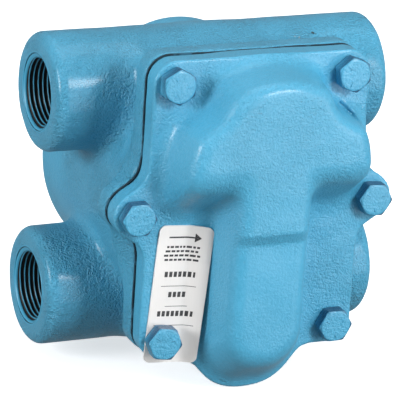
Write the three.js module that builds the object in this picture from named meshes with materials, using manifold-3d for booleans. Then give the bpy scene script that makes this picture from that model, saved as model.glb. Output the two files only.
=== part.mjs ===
// Float and thermostatic steam trap, H pattern, 1 in pipe threads. Millimetres, +Z up.
// The origin is on the axis of the upper (inlet) run, midway between its two ends.
// +X runs along the inlet run, +Y points to the back of the float bowl, -Y to the cover.

import * as THREE from 'three';
import { mergeVertices } from 'three/addons/utils/BufferGeometryUtils.js';
import Module from 'manifold-3d';

const wasm = await Module();
wasm.setup();

// ---------------------------------------------------------------- driving sizes

// Port runs
const FACE_TO_FACE = 162;        // between the two ends of a run
const PORT_SPACING = 92;         // inlet axis to outlet axis
const TUBE_RADIUS = 27;
const TUBE_END_ROUND = 4;
const BORE_RADIUS = 14.8;        // tapping size of a 1 in pipe thread
const MOUTH_RADIUS = 17;         // at the outer edge of the thread's countersink

// Joint between body and cover
const JOINT_Y = -52;             // the body's flange face
const BODY_FLANGE = 10;          // thicknesses
const COVER_FLANGE = 10;
const GASKET = 1;

// Flange outline, seen from the front
const FLANGE_HALF_WIDTH = 52;
const FLANGE_ABOVE = 31;         // above the inlet axis
const FLANGE_BELOW = 16;         // below the outlet axis
const FLANGE_CORNER = 11;
const EAR_RADIUS = 10;
const EAR_ROOT_ABOVE = 21;       // where an ear leaves the flange's side, above its bolt
const EAR_ROOT_BELOW = 19;
const LOBE_RADIUS = 26.5;        // round end of the flange below the outlet passage
const LOBE_BELOW = 6.5;          // its centre below the outlet axis

// Cover bolts, 3/8 in with a 9/16 in hexagon
const BOLT_RADIUS = 4.7;
const BOLT_LENGTH = 20;
const BOLT_HEAD_FLATS = 14.3;
const BOLT_HEAD_HEIGHT = 6;
const GASKET_STAND_BACK = 4;     // of the gasket's round window behind the chamber's wall
const BOLT_CLEARANCE = 0.5;      // in the cover and the gasket, on the radius
const TAPPED_CLEARANCE = 0.3;    // in the body, on the radius
const BOLT_TOP_X = 42;
const BOLT_TOP_ABOVE = 20.5;     // above the inlet axis
const BOLT_MID_X = 57.3;
const BOLT_MID_ABOVE = 7;        // above the middle of the bowl
const BOLT_LOW_X = 42;
const BOLT_LOW_BELOW = 6;        // below the outlet axis

// Float bowl at the back of the body
const BOWL_RADIUS = 57.5;
const BOWL_BACK = 58;            // y of its back face
const BOWL_ROUND = 12;
const ROOF_RADIUS = 44.5;        // upper part of the bowl, over the float
const ROOF_BACK = 41;
const ROOF_ROUND = 7;
const BOWL_WALL = 6.5;
const CHAMBER_RADIUS = 38;       // the float chamber's mouth in the joint
const CHAMBER_Z = -24;
const MOUTH_DEPTH = 4;           // of the chamber's mouth behind the flange, where the bowl widens
const PASSAGE_WIDTH = 26;        // outlet passage through the joint
const PASSAGE_HEIGHT = 36;
const PASSAGE_ROUND = 8;

// Cover dome and leg
const DOME_FRONT = -87.5;
const DOME_Z = -20;
const DOME_BASE_RADIUS = 46;
const DOME_FACE_RADIUS = 41.5;
const DOME_ROUND = 5;
const DOME_WALL = 6.5;
const CHIN_FACE_Z = -20.5;       // the dome's lower edge at its face, and at the flange
const CHIN_BASE_Z = -39.5;
const RELIEF_BASE_RADIUS = 16;   // wrench room round the top bolts
const RELIEF_FACE_RADIUS = 22;
const LEG_BASE_HALF_WIDTH = 22.5;
const LEG_FACE_HALF_WIDTH = 17;
const LEG_BASE_BELOW = 29.5;     // its lower end below the outlet axis, at the flange and at the face
const LEG_FACE_BELOW = 12;
const LEG_SET_BACK = 2.5;        // of the leg's lower panel behind the dome's face
const LEG_STEP_Z = -46;
const LEG_WALL = 6;

// Outlet valve and its lever
const SEAT_Z = -48;
const SEAT_HEIGHT = 5;
const SEAT_THREAD_RADIUS = 6;
const SEAT_SHOULDER = 1.5;       // the hexagon's flats stand out past the thread by this
const SEAT_ROOM = 0.84;          // from the hexagon's corners to the bracket's cheeks
const ORIFICE_RADIUS = 2.5;
const CRUSH_WASHER = 1;
const LEVER_OFFSET = 10;         // pivot above the valve's axis: the short arm
const LEVER_REACH = 52;          // pivot to the centre of the float: the long arm
const PIVOT_Y = -38;
const PIN_RADIUS = 2;
const PIN_CLEARANCE = 0.15;
const FORK_RADIUS = 1.5;         // rounded ends of the fork's two tines
const WAIST_LENGTH = 4.4;        // groove in the valve pin that the fork fills
const WAIST_RADIUS = 1.6;
const COLLAR_RADIUS = 3.6;
const COLLAR = 1.4;
const SHEET = 1.2;               // bracket sheet

// Float
const FLOAT_RADIUS = 24;
const FLOAT_WALL = 0.8;
const STUD_RADIUS = 2.4;
const STUD_BOSS = 4;             // length of the boss outside the shell
const STUD_BOSS_RADIUS = 5;
const STUD_NECK_RADIUS = 3.2;    // through the shell
const LOCK_WASHER = 0.8;
const LOCK_NUT_FLATS = 8.5;
const LOCK_NUT = 3;

// Thermostatic air vent
const VENT_Z = -2;
const VENT_PAD_Y = -66;          // rear face of the pad that carries the vent
const VENT_PAD_HALF_HEIGHT = 8;
const VENT_DUCT_HALF_WIDTH = 6;
const CAPSULE_RADIUS = 11.5;
const CAPSULE_THICKNESS = 7;
const VENT_SEAT_FLANGE = 2.5;
const VENT_SEAT_FLATS = 9;
const VENT_THREAD_RADIUS = 3;
const VENT_ORIFICE_RADIUS = 1.4;
const VENT_STEM_RADIUS = 2.4;
const VENT_LIFT = 1.3;
const VENT_SCREW_OUT = 5.5;      // screw's axis outside the capsule's rim

// Nameplate
const PLATE_WIDTH = 24;
const PLATE_HEIGHT = 62;
const PLATE_THICKNESS = 0.8;
const PLATE_ROUND = 3;
const PLATE_LEAN = 3.7;          // degrees, top towards the leg
const PLATE_BELOW_BOLT = 7;      // plate's lower edge below the bolt
const PLATE_GAP = 0.1;           // between the plate and what is behind and in front of it

const GAP = 0.3;                 // between pieces that only just touch
const FACETS = 36;               // round a casting
const SMALL_FACETS = 16;         // round a small part

// ---------------------------------------------------------------- worked out sizes

const coverBack = JOINT_Y - GASKET;
const coverFront = coverBack - COVER_FLANGE;
const bodyFlangeBack = JOINT_Y + BODY_FLANGE;
const bowlZ = -PORT_SPACING / 2;
const outletZ = -PORT_SPACING;
const flangeBottom = outletZ - FLANGE_BELOW;
const lobeZ = outletZ - LOBE_BELOW;
const boltTop = { x: BOLT_TOP_X, z: BOLT_TOP_ABOVE };
const boltMid = { x: BOLT_MID_X, z: bowlZ + BOLT_MID_ABOVE };
const boltLow = { x: BOLT_LOW_X, z: outletZ - BOLT_LOW_BELOW };
const seatFlats = 2 * (SEAT_THREAD_RADIUS + SEAT_SHOULDER);
const seatFace = coverBack + CRUSH_WASHER + SEAT_HEIGHT;
const cheekInner = seatFlats / Math.sqrt(3) + SEAT_ROOM;
const ventScrewX = CAPSULE_RADIUS + VENT_SCREW_OUT;
const ventPadHalfWidth = ventScrewX + 4;
const pivotZ = SEAT_Z + LEVER_OFFSET;
const floatY = PIVOT_Y + LEVER_REACH;
const boltPlaces = {
  top_left: { x: -boltTop.x, z: boltTop.z, turn: 0 },
  top_right: { x: boltTop.x, z: boltTop.z, turn: -8 },
  mid_left: { x: -boltMid.x, z: boltMid.z, turn: 30 },
  mid_right: { x: boltMid.x, z: boltMid.z, turn: 34 },
  bottom_left: { x: -boltLow.x, z: boltLow.z, turn: 38 },
  bottom_right: { x: boltLow.x, z: boltLow.z, turn: 30 },
};

// ---------------------------------------------------------------- solids

// Proper quarter turns with whole-number entries, so that flat faces stay exactly flat.
const SHAPE_TO_XZ = new THREE.Matrix4().set(1, 0, 0, 0, 0, 0, -1, 0, 0, 1, 0, 0, 0, 0, 0, 1);
const SHAPE_TO_YZ = new THREE.Matrix4().set(0, 0, 1, 0, 1, 0, 0, 0, 0, 1, 0, 0, 0, 0, 0, 1);
const AXIS_Y_TO_X = new THREE.Matrix4().set(0, 1, 0, 0, 0, 0, 1, 0, 1, 0, 0, 0, 0, 0, 0, 1);

/** A closed three.js geometry as a solid for cutting and joining. */
function solid(geometry) {
  const bare = geometry.clone();
  bare.deleteAttribute('normal');
  bare.deleteAttribute('uv');
  const merged = mergeVertices(bare, 1e-5);
  const vertProperties = new Float32Array(merged.attributes.position.array);
  const triVerts = new Uint32Array(merged.index.array);
  return new wasm.Manifold(new wasm.Mesh({ numProp: 3, vertProperties, triVerts }));
}

/** The geometry of a finished solid. */
function geometryOf(manifold) {
  const mesh = manifold.getMesh();
  const geometry = new THREE.BufferGeometry();
  geometry.setAttribute('position', new THREE.BufferAttribute(new Float32Array(mesh.vertProperties), 3));
  geometry.setIndex(new THREE.BufferAttribute(new Uint32Array(mesh.triVerts), 1));
  geometry.computeVertexNormals();
  return geometry;
}

const join = (first, ...others) => others.reduce((sum, other) => sum.add(other), first);
const cut = (first, ...others) => others.reduce((rest, other) => rest.subtract(other), first);

/** Box between two opposite corners. */
function box(x0, x1, y0, y1, z0, z1) {
  const geometry = new THREE.BoxGeometry(x1 - x0, y1 - y0, z1 - z0);
  return solid(geometry.translate((x0 + x1) / 2, (y0 + y1) / 2, (z0 + z1) / 2));
}

/** Shape drawn in x and z, extruded from y0 to y1. */
function extrudeY(shape, y0, y1) {
  const options = { depth: y1 - y0, bevelEnabled: false, curveSegments: 12 };
  return solid(new THREE.ExtrudeGeometry(shape, options).applyMatrix4(SHAPE_TO_XZ).translate(0, y1, 0));
}

/** Shape drawn in y and z, extruded from x0 to x1. */
function extrudeX(shape, x0, x1) {
  const options = { depth: x1 - x0, bevelEnabled: false, curveSegments: 12 };
  return solid(new THREE.ExtrudeGeometry(shape, options).applyMatrix4(SHAPE_TO_YZ).translate(x0, 0, 0));
}

/** Round solid about the y axis through (x, z); profile is a list of [radius, y]. */
function turnY(profile, x = 0, z = 0, facets = SMALL_FACETS) {
  const points = profile.map(([radius, y]) => new THREE.Vector2(radius, y));
  return solid(new THREE.LatheGeometry(points, facets).translate(x, 0, z));
}

/** Round solid about the x axis through (y, z); profile is a list of [radius, x]. */
function turnX(profile, y = 0, z = 0, facets = SMALL_FACETS) {
  const points = profile.map(([radius, x]) => new THREE.Vector2(radius, x));
  return solid(new THREE.LatheGeometry(points, facets).applyMatrix4(AXIS_Y_TO_X).translate(0, y, z));
}

const rod = (radius, from, to) => [[0, from], [radius, from], [radius, to], [0, to]];
const ring = (inner, outer, from, to) => [[inner, from], [outer, from], [outer, to], [inner, to],
  [inner, from]];

/** Quarter-round points of a profile, from angle a to angle b in degrees about (radius, along). */
function roundPoints(radius, along, round, a, b, steps = 3) {
  return Array.from({ length: steps + 1 }, (_, i) => {
    const angle = THREE.MathUtils.degToRad(a + ((b - a) * i) / steps);
    return [radius + round * Math.cos(angle), along + round * Math.sin(angle)];
  });
}

/** Shape from corner points. */
function polygon(points) {
  return new THREE.Shape(points.map(([x, y]) => new THREE.Vector2(x, y)));
}

/** Rectangle with equal round corners, as a shape. */
function roundedRectangle(x0, x1, y0, y1, round) {
  const shape = new THREE.Shape();
  shape.absarc(x1 - round, y1 - round, round, 0, Math.PI / 2);
  shape.absarc(x0 + round, y1 - round, round, Math.PI / 2, Math.PI);
  shape.absarc(x0 + round, y0 + round, round, Math.PI, 1.5 * Math.PI);
  shape.absarc(x1 - round, y0 + round, round, 1.5 * Math.PI, 2 * Math.PI);
  return shape;
}

/** Closed solid between two outlines of equally many points, each a list of [x, z], at y0 and y1. */
function loftY(front, y0, back, y1) {
  const count = front.length;
  const caps = THREE.ShapeUtils.triangulateShape(front.map(([x, z]) => new THREE.Vector2(x, z)), []);
  const positions = [...front.map(([x, z]) => [x, y0, z]), ...back.map(([x, z]) => [x, y1, z])].flat();
  const index = [];
  for (const [a, b, c] of caps) index.push(a, b, c, c + count, b + count, a + count);
  for (let i = 0; i < count; i += 1) {
    const next = (i + 1) % count;
    index.push(next, i, i + count, next, i + count, next + count);
  }
  const geometry = new THREE.BufferGeometry();
  geometry.setAttribute('position', new THREE.Float32BufferAttribute(positions, 3));
  geometry.setIndex(index);
  return solid(geometry);
}

// ---------------------------------------------------------------- materials

const finish = (color, metalness, roughness) => new THREE.MeshStandardMaterial(
  { color, metalness, roughness });
const bluePaint = () => finish(0x5aa9cc, 0.0, 0.45);
const stainless = () => finish(0xb9bcbe, 1.0, 0.3);
const brass = () => finish(0xc2a15a, 1.0, 0.35);

const trap = new THREE.Group();

/** Adds one named piece to the trap, or to a group of it. */
function add(name, manifold, material, place = [0, 0, 0], owner = trap) {
  const mesh = new THREE.Mesh(geometryOf(manifold), material);
  mesh.name = name;
  mesh.position.set(...place);
  owner.add(mesh);
  return mesh;
}

// ---------------------------------------------------------------- the joint

/** Where the line from (x, z) touches a circle; side is +1 for the upper touch and -1 for the lower. */
function touchAngle(x, z, circle, radius, side) {
  const dx = x - circle.x;
  const dz = z - circle.z;
  return Math.atan2(dz, dx) - side * Math.acos(radius / Math.hypot(dx, dz));
}

/** Outline shared by both flanges and the gasket: symmetric, with two ears and a lower lobe. */
function flangeOutline() {
  const half = new THREE.Path();
  const side = FLANGE_HALF_WIDTH;
  const corner = FLANGE_CORNER;
  const earTop = touchAngle(side, boltMid.z + EAR_ROOT_ABOVE, boltMid, EAR_RADIUS, 1);
  const earLow = touchAngle(side, boltMid.z - EAR_ROOT_BELOW, boltMid, EAR_RADIUS, -1);
  const lobeStart = Math.asin((flangeBottom - lobeZ) / LOBE_RADIUS);
  half.moveTo(0, FLANGE_ABOVE);
  half.absarc(side - corner, FLANGE_ABOVE - corner, corner, Math.PI / 2, 0, true);
  half.lineTo(side, boltMid.z + EAR_ROOT_ABOVE);
  half.absarc(boltMid.x, boltMid.z, EAR_RADIUS, earTop, earLow, true);
  half.lineTo(side, boltMid.z - EAR_ROOT_BELOW);
  half.absarc(side - corner, flangeBottom + corner, corner, 0, -Math.PI / 2, true);
  half.absarc(0, lobeZ, LOBE_RADIUS, lobeStart, -Math.PI / 2, true);
  const right = half.getPoints(5);
  const left = right.slice(1, -1).reverse().map((point) => new THREE.Vector2(-point.x, point.y));
  return new THREE.Shape([...right, ...left]);
}

/** Holes for the six cover bolts between two depths. */
function boltHoles(radius, y0, y1) {
  const holes = Object.values(boltPlaces).map(({ x, z }) => turnY(rod(radius, y0, y1), x, z));
  return join(...holes);
}

/** The outlet passage's window, between two depths. */
function passage(y0, y1, grow = 0) {
  const halfWidth = PASSAGE_WIDTH / 2 + grow;
  const halfHeight = PASSAGE_HEIGHT / 2 + grow;
  const low = outletZ - halfHeight;
  return extrudeY(roundedRectangle(-halfWidth, halfWidth, low, low + 2 * halfHeight, PASSAGE_ROUND), y0, y1);
}

function coverGasket() {
  const sheet = extrudeY(flangeOutline(), coverBack, JOINT_Y);
  const window = turnY(rod(CHAMBER_RADIUS + GASKET_STAND_BACK, coverBack - 1, JOINT_Y + 1), 0, CHAMBER_Z, FACETS);
  const holes = boltHoles(BOLT_RADIUS + BOLT_CLEARANCE, coverBack - 1, JOINT_Y + 1);
  return cut(sheet, window, passage(coverBack - 1, JOINT_Y + 1, 1), holes);
}

// ---------------------------------------------------------------- body casting

/** One port run, solid, with rounded ends. */
function tube(z) {
  const end = FACE_TO_FACE / 2;
  const inner = TUBE_RADIUS - TUBE_END_ROUND;
  const left = roundPoints(inner, -end + TUBE_END_ROUND, TUBE_END_ROUND, -90, 0);
  const right = roundPoints(inner, end - TUBE_END_ROUND, TUBE_END_ROUND, 0, 90);
  return turnX([[0, -end], ...left, ...right, [0, end]], 0, z, FACETS);
}

/** The bore of a run, with a countersink at each mouth. */
function tubeBore(z) {
  const end = FACE_TO_FACE / 2;
  const sink = MOUTH_RADIUS - BORE_RADIUS;
  const half = [[BORE_RADIUS, end - sink], [MOUTH_RADIUS, end], [MOUTH_RADIUS, end + 1], [0, end + 1]];
  const mirrored = half.map(([radius, x]) => [radius, -x]).reverse();
  return turnX([...mirrored, ...half], 0, z, FACETS);
}

/** A drum about y from a flat front to a rounded back. */
function drum(radius, front, back, round, z) {
  const edge = roundPoints(radius - round, back - round, round, 0, 90);
  return turnY([[0, front], [radius, front], ...edge, [0, back]], 0, z, FACETS);
}

/** The hollow of the bowl, which leaves a wall round the outlet run and its passage to the joint. */
function bowlRoom() {
  const front = bodyFlangeBack + MOUTH_DEPTH;
  const outletWall = turnX(rod(BORE_RADIUS + BOWL_WALL, -BOWL_RADIUS, BOWL_RADIUS), 0, outletZ, FACETS);
  const mouth = drum(CHAMBER_RADIUS, JOINT_Y - 1, ROOF_BACK - BOWL_WALL, 1, CHAMBER_Z);
  const room = drum(BOWL_RADIUS - BOWL_WALL, front, BOWL_BACK - BOWL_WALL, BOWL_ROUND - BOWL_WALL, bowlZ);
  return cut(join(mouth, room), outletWall, passage(JOINT_Y - 2, 0, BOWL_WALL));
}

function bodyCasting() {
  const front = JOINT_Y + 1;
  const roofZ = CHAMBER_Z - 0.5;
  const neckFoot = outletZ - TUBE_RADIUS + 7;
  const outer = join(
    extrudeY(flangeOutline(), JOINT_Y, bodyFlangeBack),
    tube(0),
    tube(outletZ),
    drum(BOWL_RADIUS, front, BOWL_BACK, BOWL_ROUND, bowlZ),
    drum(ROOF_RADIUS, front, ROOF_BACK, ROOF_ROUND, roofZ),
    box(-ROOF_RADIUS, ROOF_RADIUS, front, 0, -TUBE_RADIUS + 3, TUBE_RADIUS - 6),
    box(-ROOF_RADIUS + 6, ROOF_RADIUS - 6, front, 0, neckFoot, bowlZ),
  );
  const window = passage(JOINT_Y - 1, -BORE_RADIUS / 2);
  const taps = boltHoles(BOLT_RADIUS + TAPPED_CLEARANCE, JOINT_Y - 1, bodyFlangeBack + 1);
  return cut(outer, bowlRoom(), tubeBore(0), tubeBore(outletZ), window, taps);
}

// ---------------------------------------------------------------- cover casting

/** Height of the dome's sloping underside at a depth y, raised by a wall on the inside. */
function chinZ(y, wall = 0) {
  const slope = (CHIN_BASE_Z - CHIN_FACE_Z) / (coverFront - DOME_FRONT);
  return CHIN_FACE_Z + slope * (y - DOME_FRONT) + wall * Math.hypot(1, slope);
}

/** Everything below the dome's underside. */
function belowChin(wall, back) {
  const front = DOME_FRONT - 10;
  const low = flangeBottom;
  const shape = polygon([[front, low], [back, low], [back, chinZ(back, wall)], [front, chinZ(front, wall)]]);
  return extrudeX(shape, -FLANGE_HALF_WIDTH, FLANGE_HALF_WIDTH);
}

/** Wrench room round the two top bolts, grown by a wall on the inside. */
function wrenchRooms(wall = 0) {
  const profile = [[0, DOME_FRONT - 1], [RELIEF_FACE_RADIUS + wall, DOME_FRONT - 1],
    [RELIEF_BASE_RADIUS + wall, coverFront], [0, coverFront]];
  return [-1, 1].map((side) => turnY(profile, side * boltTop.x, boltTop.z, FACETS));
}

function dome() {
  const edge = roundPoints(DOME_FACE_RADIUS - DOME_ROUND, DOME_FRONT + DOME_ROUND, DOME_ROUND, -90, 0);
  const profile = [[0, DOME_FRONT], ...edge, [DOME_BASE_RADIUS, coverFront],
    [DOME_BASE_RADIUS, coverBack - 1], [0, coverBack - 1]];
  return cut(turnY(profile, 0, DOME_Z, FACETS), belowChin(0, coverFront), ...wrenchRooms());
}

/** Outline of the leg at one depth, round below, as a list of [x, z]. */
function legOutline(halfWidth, top, bottom, round) {
  const path = new THREE.Path();
  path.moveTo(halfWidth, top);
  path.lineTo(-halfWidth, top);
  path.absarc(-halfWidth + round, bottom + round, round, Math.PI, 1.5 * Math.PI);
  path.absarc(halfWidth - round, bottom + round, round, 1.5 * Math.PI, 2 * Math.PI);
  return path.getPoints(8).slice(0, -1).map((point) => [point.x, point.y]);
}

function leg() {
  const face = legOutline(LEG_FACE_HALF_WIDTH, DOME_Z, outletZ - LEG_FACE_BELOW, LEG_FACE_HALF_WIDTH * 0.8);
  const base = legOutline(LEG_BASE_HALF_WIDTH, DOME_Z, outletZ - LEG_BASE_BELOW, LEG_BASE_HALF_WIDTH * 0.95);
  const panel = DOME_FRONT + LEG_SET_BACK;
  const front = DOME_FRONT - 1;
  const low = outletZ - LEG_BASE_BELOW - 1;
  const setBack = polygon([[front, low], [panel, low], [panel, LEG_STEP_Z],
    [front, LEG_STEP_Z + LEG_SET_BACK + 1]]);
  const blank = loftY(face, DOME_FRONT, base, coverFront);
  return cut(blank, extrudeX(setBack, -FLANGE_HALF_WIDTH, FLANGE_HALF_WIDTH));
}

/** The float's room inside the dome. */
function domeCavity() {
  const front = DOME_FRONT + DOME_WALL;
  const profile = [[0, front], [DOME_FACE_RADIUS - DOME_WALL, front],
    [DOME_BASE_RADIUS - DOME_WALL, coverBack + 1], [0, coverBack + 1]];
  const room = turnY(profile, 0, DOME_Z, FACETS);
  return cut(room, belowChin(DOME_WALL, coverBack + 2), ...wrenchRooms(DOME_WALL));
}

/** Housing of the vent's duct on the inside of the dome, with the pad that carries the vent. */
function ventHousing() {
  const front = DOME_FRONT + DOME_WALL - 1;
  const half = VENT_DUCT_HALF_WIDTH + LEG_WALL;
  const housing = box(-half, half, front, VENT_PAD_Y, SEAT_Z + 8, VENT_Z + VENT_PAD_HALF_HEIGHT);
  const pad = box(-ventPadHalfWidth, ventPadHalfWidth, front, VENT_PAD_Y,
    VENT_Z - VENT_PAD_HALF_HEIGHT, VENT_Z + VENT_PAD_HALF_HEIGHT);
  return housing.add(pad);
}

/** Ducts from the vent and the outlet valve down the leg to the outlet passage. */
function coverDucts() {
  const ductFront = DOME_FRONT + LEG_SET_BACK + LEG_WALL;
  const ventBack = VENT_PAD_Y - 5;
  const ductWidth = PASSAGE_WIDTH / 2 - 2;
  const ventDuct = box(-VENT_DUCT_HALF_WIDTH, VENT_DUCT_HALF_WIDTH, ductFront, ventBack, SEAT_Z, VENT_Z + 5);
  const legDuct = box(-ductWidth, ductWidth, ductFront, coverFront, outletZ - LEG_FACE_BELOW, SEAT_Z + 8);
  const window = passage(coverFront - 1, coverBack + 1);
  const seatHole = turnY(rod(SEAT_THREAD_RADIUS + GAP, coverFront - 1, coverBack + 1), 0, SEAT_Z);
  const ventHole = turnY(rod(VENT_THREAD_RADIUS + GAP, ventBack - 1, VENT_PAD_Y + 1), 0, VENT_Z);
  return join(ventDuct, legDuct, window, seatHole, ventHole);
}

const bracketScrew = { x: cheekInner + 5.5, z: pivotZ - 4.5, radius: 1.8, depth: 7 };

function coverCasting() {
  const shell = cut(join(extrudeY(flangeOutline(), coverFront, coverBack), dome(), leg()), domeCavity());
  const holes = boltHoles(BOLT_RADIUS + BOLT_CLEARANCE, coverFront - 1, coverBack + 1);
  const screwHoles = [-1, 1].flatMap((side) => [
    turnY(rod(bracketScrew.radius + GAP, coverBack - bracketScrew.depth - 1, coverBack + 1),
      side * bracketScrew.x, bracketScrew.z),
    turnY(rod(bracketScrew.radius + GAP, VENT_PAD_Y - bracketScrew.depth - 1, VENT_PAD_Y + 1),
      side * ventScrewX, VENT_Z),
  ]);
  return cut(shell.add(ventHousing()), coverDucts(), holes, ...screwHoles);
}

// ---------------------------------------------------------------- fasteners

/** Hexagonal prism about y, flats apart, with its corner chamfer on one face. */
function hexagon(flats, y0, y1, chamferAt) {
  const corner = flats / Math.sqrt(3);
  const prism = turnY(rod(corner, y0, y1), 0, 0, 6);
  const middle = flats / 2;
  const front = chamferAt === 'front';
  const slope = (corner - middle) * 0.6;
  const profile = front
    ? [[0, y0], [middle, y0], [corner + 0.2, y0 + slope], [corner + 0.2, y1 + 1], [0, y1 + 1]]
    : [[0, y0 - 1], [corner + 0.2, y0 - 1], [corner + 0.2, y1 - slope], [middle, y1], [0, y1]];
  return prism.intersect(turnY(profile));
}

/** Cover bolt: y = 0 is the underside of its head, the shank points to +y. */
function coverBolt() {
  const head = hexagon(BOLT_HEAD_FLATS, -BOLT_HEAD_HEIGHT, 0, 'front');
  return head.add(turnY([[0, -1], [BOLT_RADIUS, -1], [BOLT_RADIUS, BOLT_LENGTH - 1],
    [BOLT_RADIUS - 1, BOLT_LENGTH], [0, BOLT_LENGTH]]));
}

/** Slotted screw: y = 0 is the underside of its head, the shank points to -y. */
function slottedScrew() {
  const { radius, depth } = bracketScrew;
  const blank = turnY([[0, -depth], [radius, -depth], [radius, 0], [radius * 1.8, 0], [radius * 1.8, 1.4],
    [radius * 1.4, 2.2], [0, 2.2]]);
  return blank.subtract(box(-radius * 2, radius * 2, 1.4, 3, -0.4, 0.4));
}

function addCoverBolts() {
  const geometry = coverBolt();
  for (const [name, { x, z, turn }] of Object.entries(boltPlaces)) {
    const underPlate = name === 'bottom_left' ? PLATE_THICKNESS + 2 * PLATE_GAP : 0;
    const bolt = add(`cover_bolt_${name}`, geometry, bluePaint(), [x, coverFront - underPlate, z]);
    bolt.rotation.y = THREE.MathUtils.degToRad(turn);
  }
}

// ---------------------------------------------------------------- nameplate

/** Nameplate, hanging on the bottom left bolt: y = 0 is its back, (0, 0) the bolt's axis. */
function nameplate() {
  const lean = THREE.MathUtils.degToRad(PLATE_LEAN);
  const left = -PLATE_WIDTH / 2 + 2.5;
  const low = -PLATE_BELOW_BOLT;
  const sheet = extrudeY(roundedRectangle(left, left + PLATE_WIDTH, low, low + PLATE_HEIGHT, PLATE_ROUND),
    -PLATE_THICKNESS, 0);
  const hole = turnY(rod(BOLT_RADIUS + BOLT_CLEARANCE, -PLATE_THICKNESS - 1, 1));
  return sheet.subtract(hole).rotate([0, THREE.MathUtils.radToDeg(lean), 0]);
}

// ---------------------------------------------------------------- outlet valve

/** Valve seat: hexagon in the chamber, threaded end through the cover, orifice along y. */
function valveSeat() {
  const hexBack = coverBack + CRUSH_WASHER;
  const head = hexagon(seatFlats, hexBack, seatFace, 'back');
  const shank = turnY(rod(SEAT_THREAD_RADIUS, coverFront + 0.5, hexBack + 1));
  const lip = ORIFICE_RADIUS + 1;
  const orifice = turnY([[0, coverFront - 1], [ORIFICE_RADIUS, coverFront - 1],
    [ORIFICE_RADIUS, seatFace - 1], [lip, seatFace], [lip, seatFace + 1], [0, seatFace + 1]]);
  return cut(head.add(shank), orifice);
}

/** Valve pin: guided tip in the orifice, closing cone, and the grooved tail that the fork moves. */
function valvePin() {
  const waist = PIVOT_Y - WAIST_LENGTH / 2;
  const tail = PIVOT_Y + WAIST_LENGTH / 2;
  const cone = ORIFICE_RADIUS + 0.7;
  const guide = ORIFICE_RADIUS - 0.6;
  return turnY([[0, seatFace - 6], [guide - 0.5, seatFace - 6], [guide, seatFace - 5.2],
    [guide, seatFace - 1.1], [cone, seatFace + GAP], [cone, waist - COLLAR - 1.5],
    [COLLAR_RADIUS, waist - COLLAR], [COLLAR_RADIUS, waist], [WAIST_RADIUS, waist], [WAIST_RADIUS, tail],
    [COLLAR_RADIUS, tail], [COLLAR_RADIUS, tail + COLLAR], [0, tail + COLLAR]]);
}

const crushWasher = () => turnY(ring(SEAT_THREAD_RADIUS + GAP, seatFlats / 2 + 0.3, coverBack,
  coverBack + CRUSH_WASHER));

// ---------------------------------------------------------------- lever bracket and lever

/** Bracket round the seat: two feet on the cover, two cheeks for the pivot pin, one bridge. */
function leverBracket() {
  const outer = cheekInner + SHEET;
  const footEnd = bracketScrew.x + 4.5;
  const rear = PIVOT_Y + 5;
  const top = pivotZ + 6.5;
  const foot = bracketScrew.z - 4.2;
  const sides = [-1, 1].flatMap((side) => {
    const inOut = (a, b) => (side > 0 ? [a, b] : [-b, -a]);
    return [
      box(...inOut(cheekInner, footEnd), coverBack, coverBack + SHEET, foot, bracketScrew.z + 4.2),
      box(...inOut(cheekInner, outer), coverBack, rear, pivotZ - 4.5, top),
      box(...inOut(cheekInner, outer), coverBack, coverBack + 5, foot, top),
    ];
  });
  const bridge = box(-outer, outer, seatFace - 3, PIVOT_Y - 2, top - SHEET, top);
  const screwHoles = [-1, 1].map((side) => turnY(rod(bracketScrew.radius + GAP, coverBack - 1, coverBack + 3),
    side * bracketScrew.x, bracketScrew.z));
  const pinHole = turnX(rod(PIN_RADIUS + PIN_CLEARANCE, -outer - 1, outer + 1), PIVOT_Y, pivotZ);
  return cut(join(...sides, bridge), pinHole, ...screwHoles);
}

/** Pivot pin, headed at the left, with a groove for its clip at the right. */
function pivotPin() {
  const end = cheekInner + SHEET + 2.6;
  const head = cheekInner + SHEET + GAP;
  const groove = head + 0.2;
  const neck = PIN_RADIUS - 0.5;
  return turnX([[0, -head - 1.4], [PIN_RADIUS + 1, -head - 1.4], [PIN_RADIUS + 1, -head], [PIN_RADIUS, -head],
    [PIN_RADIUS, groove], [neck, groove], [neck, groove + 1], [PIN_RADIUS, groove + 1], [PIN_RADIUS, end],
    [0, end]], PIVOT_Y, pivotZ);
}

/** Open retaining clip in the pivot pin's groove. */
function pivotClip() {
  const start = cheekInner + SHEET + GAP + 0.3;
  const washer = turnX(ring(PIN_RADIUS - 0.4, PIN_RADIUS + 1.8, start, start + 0.8), PIVOT_Y, pivotZ);
  return washer.subtract(box(start - 1, start + 2, PIVOT_Y - 1.2, PIVOT_Y + 1.2, pivotZ - 6, pivotZ));
}

const armInner = STUD_RADIUS + 3.1;
const armOuter = armInner + 1.5;
const armEnd = floatY - FLOAT_RADIUS - STUD_BOSS;

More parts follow.
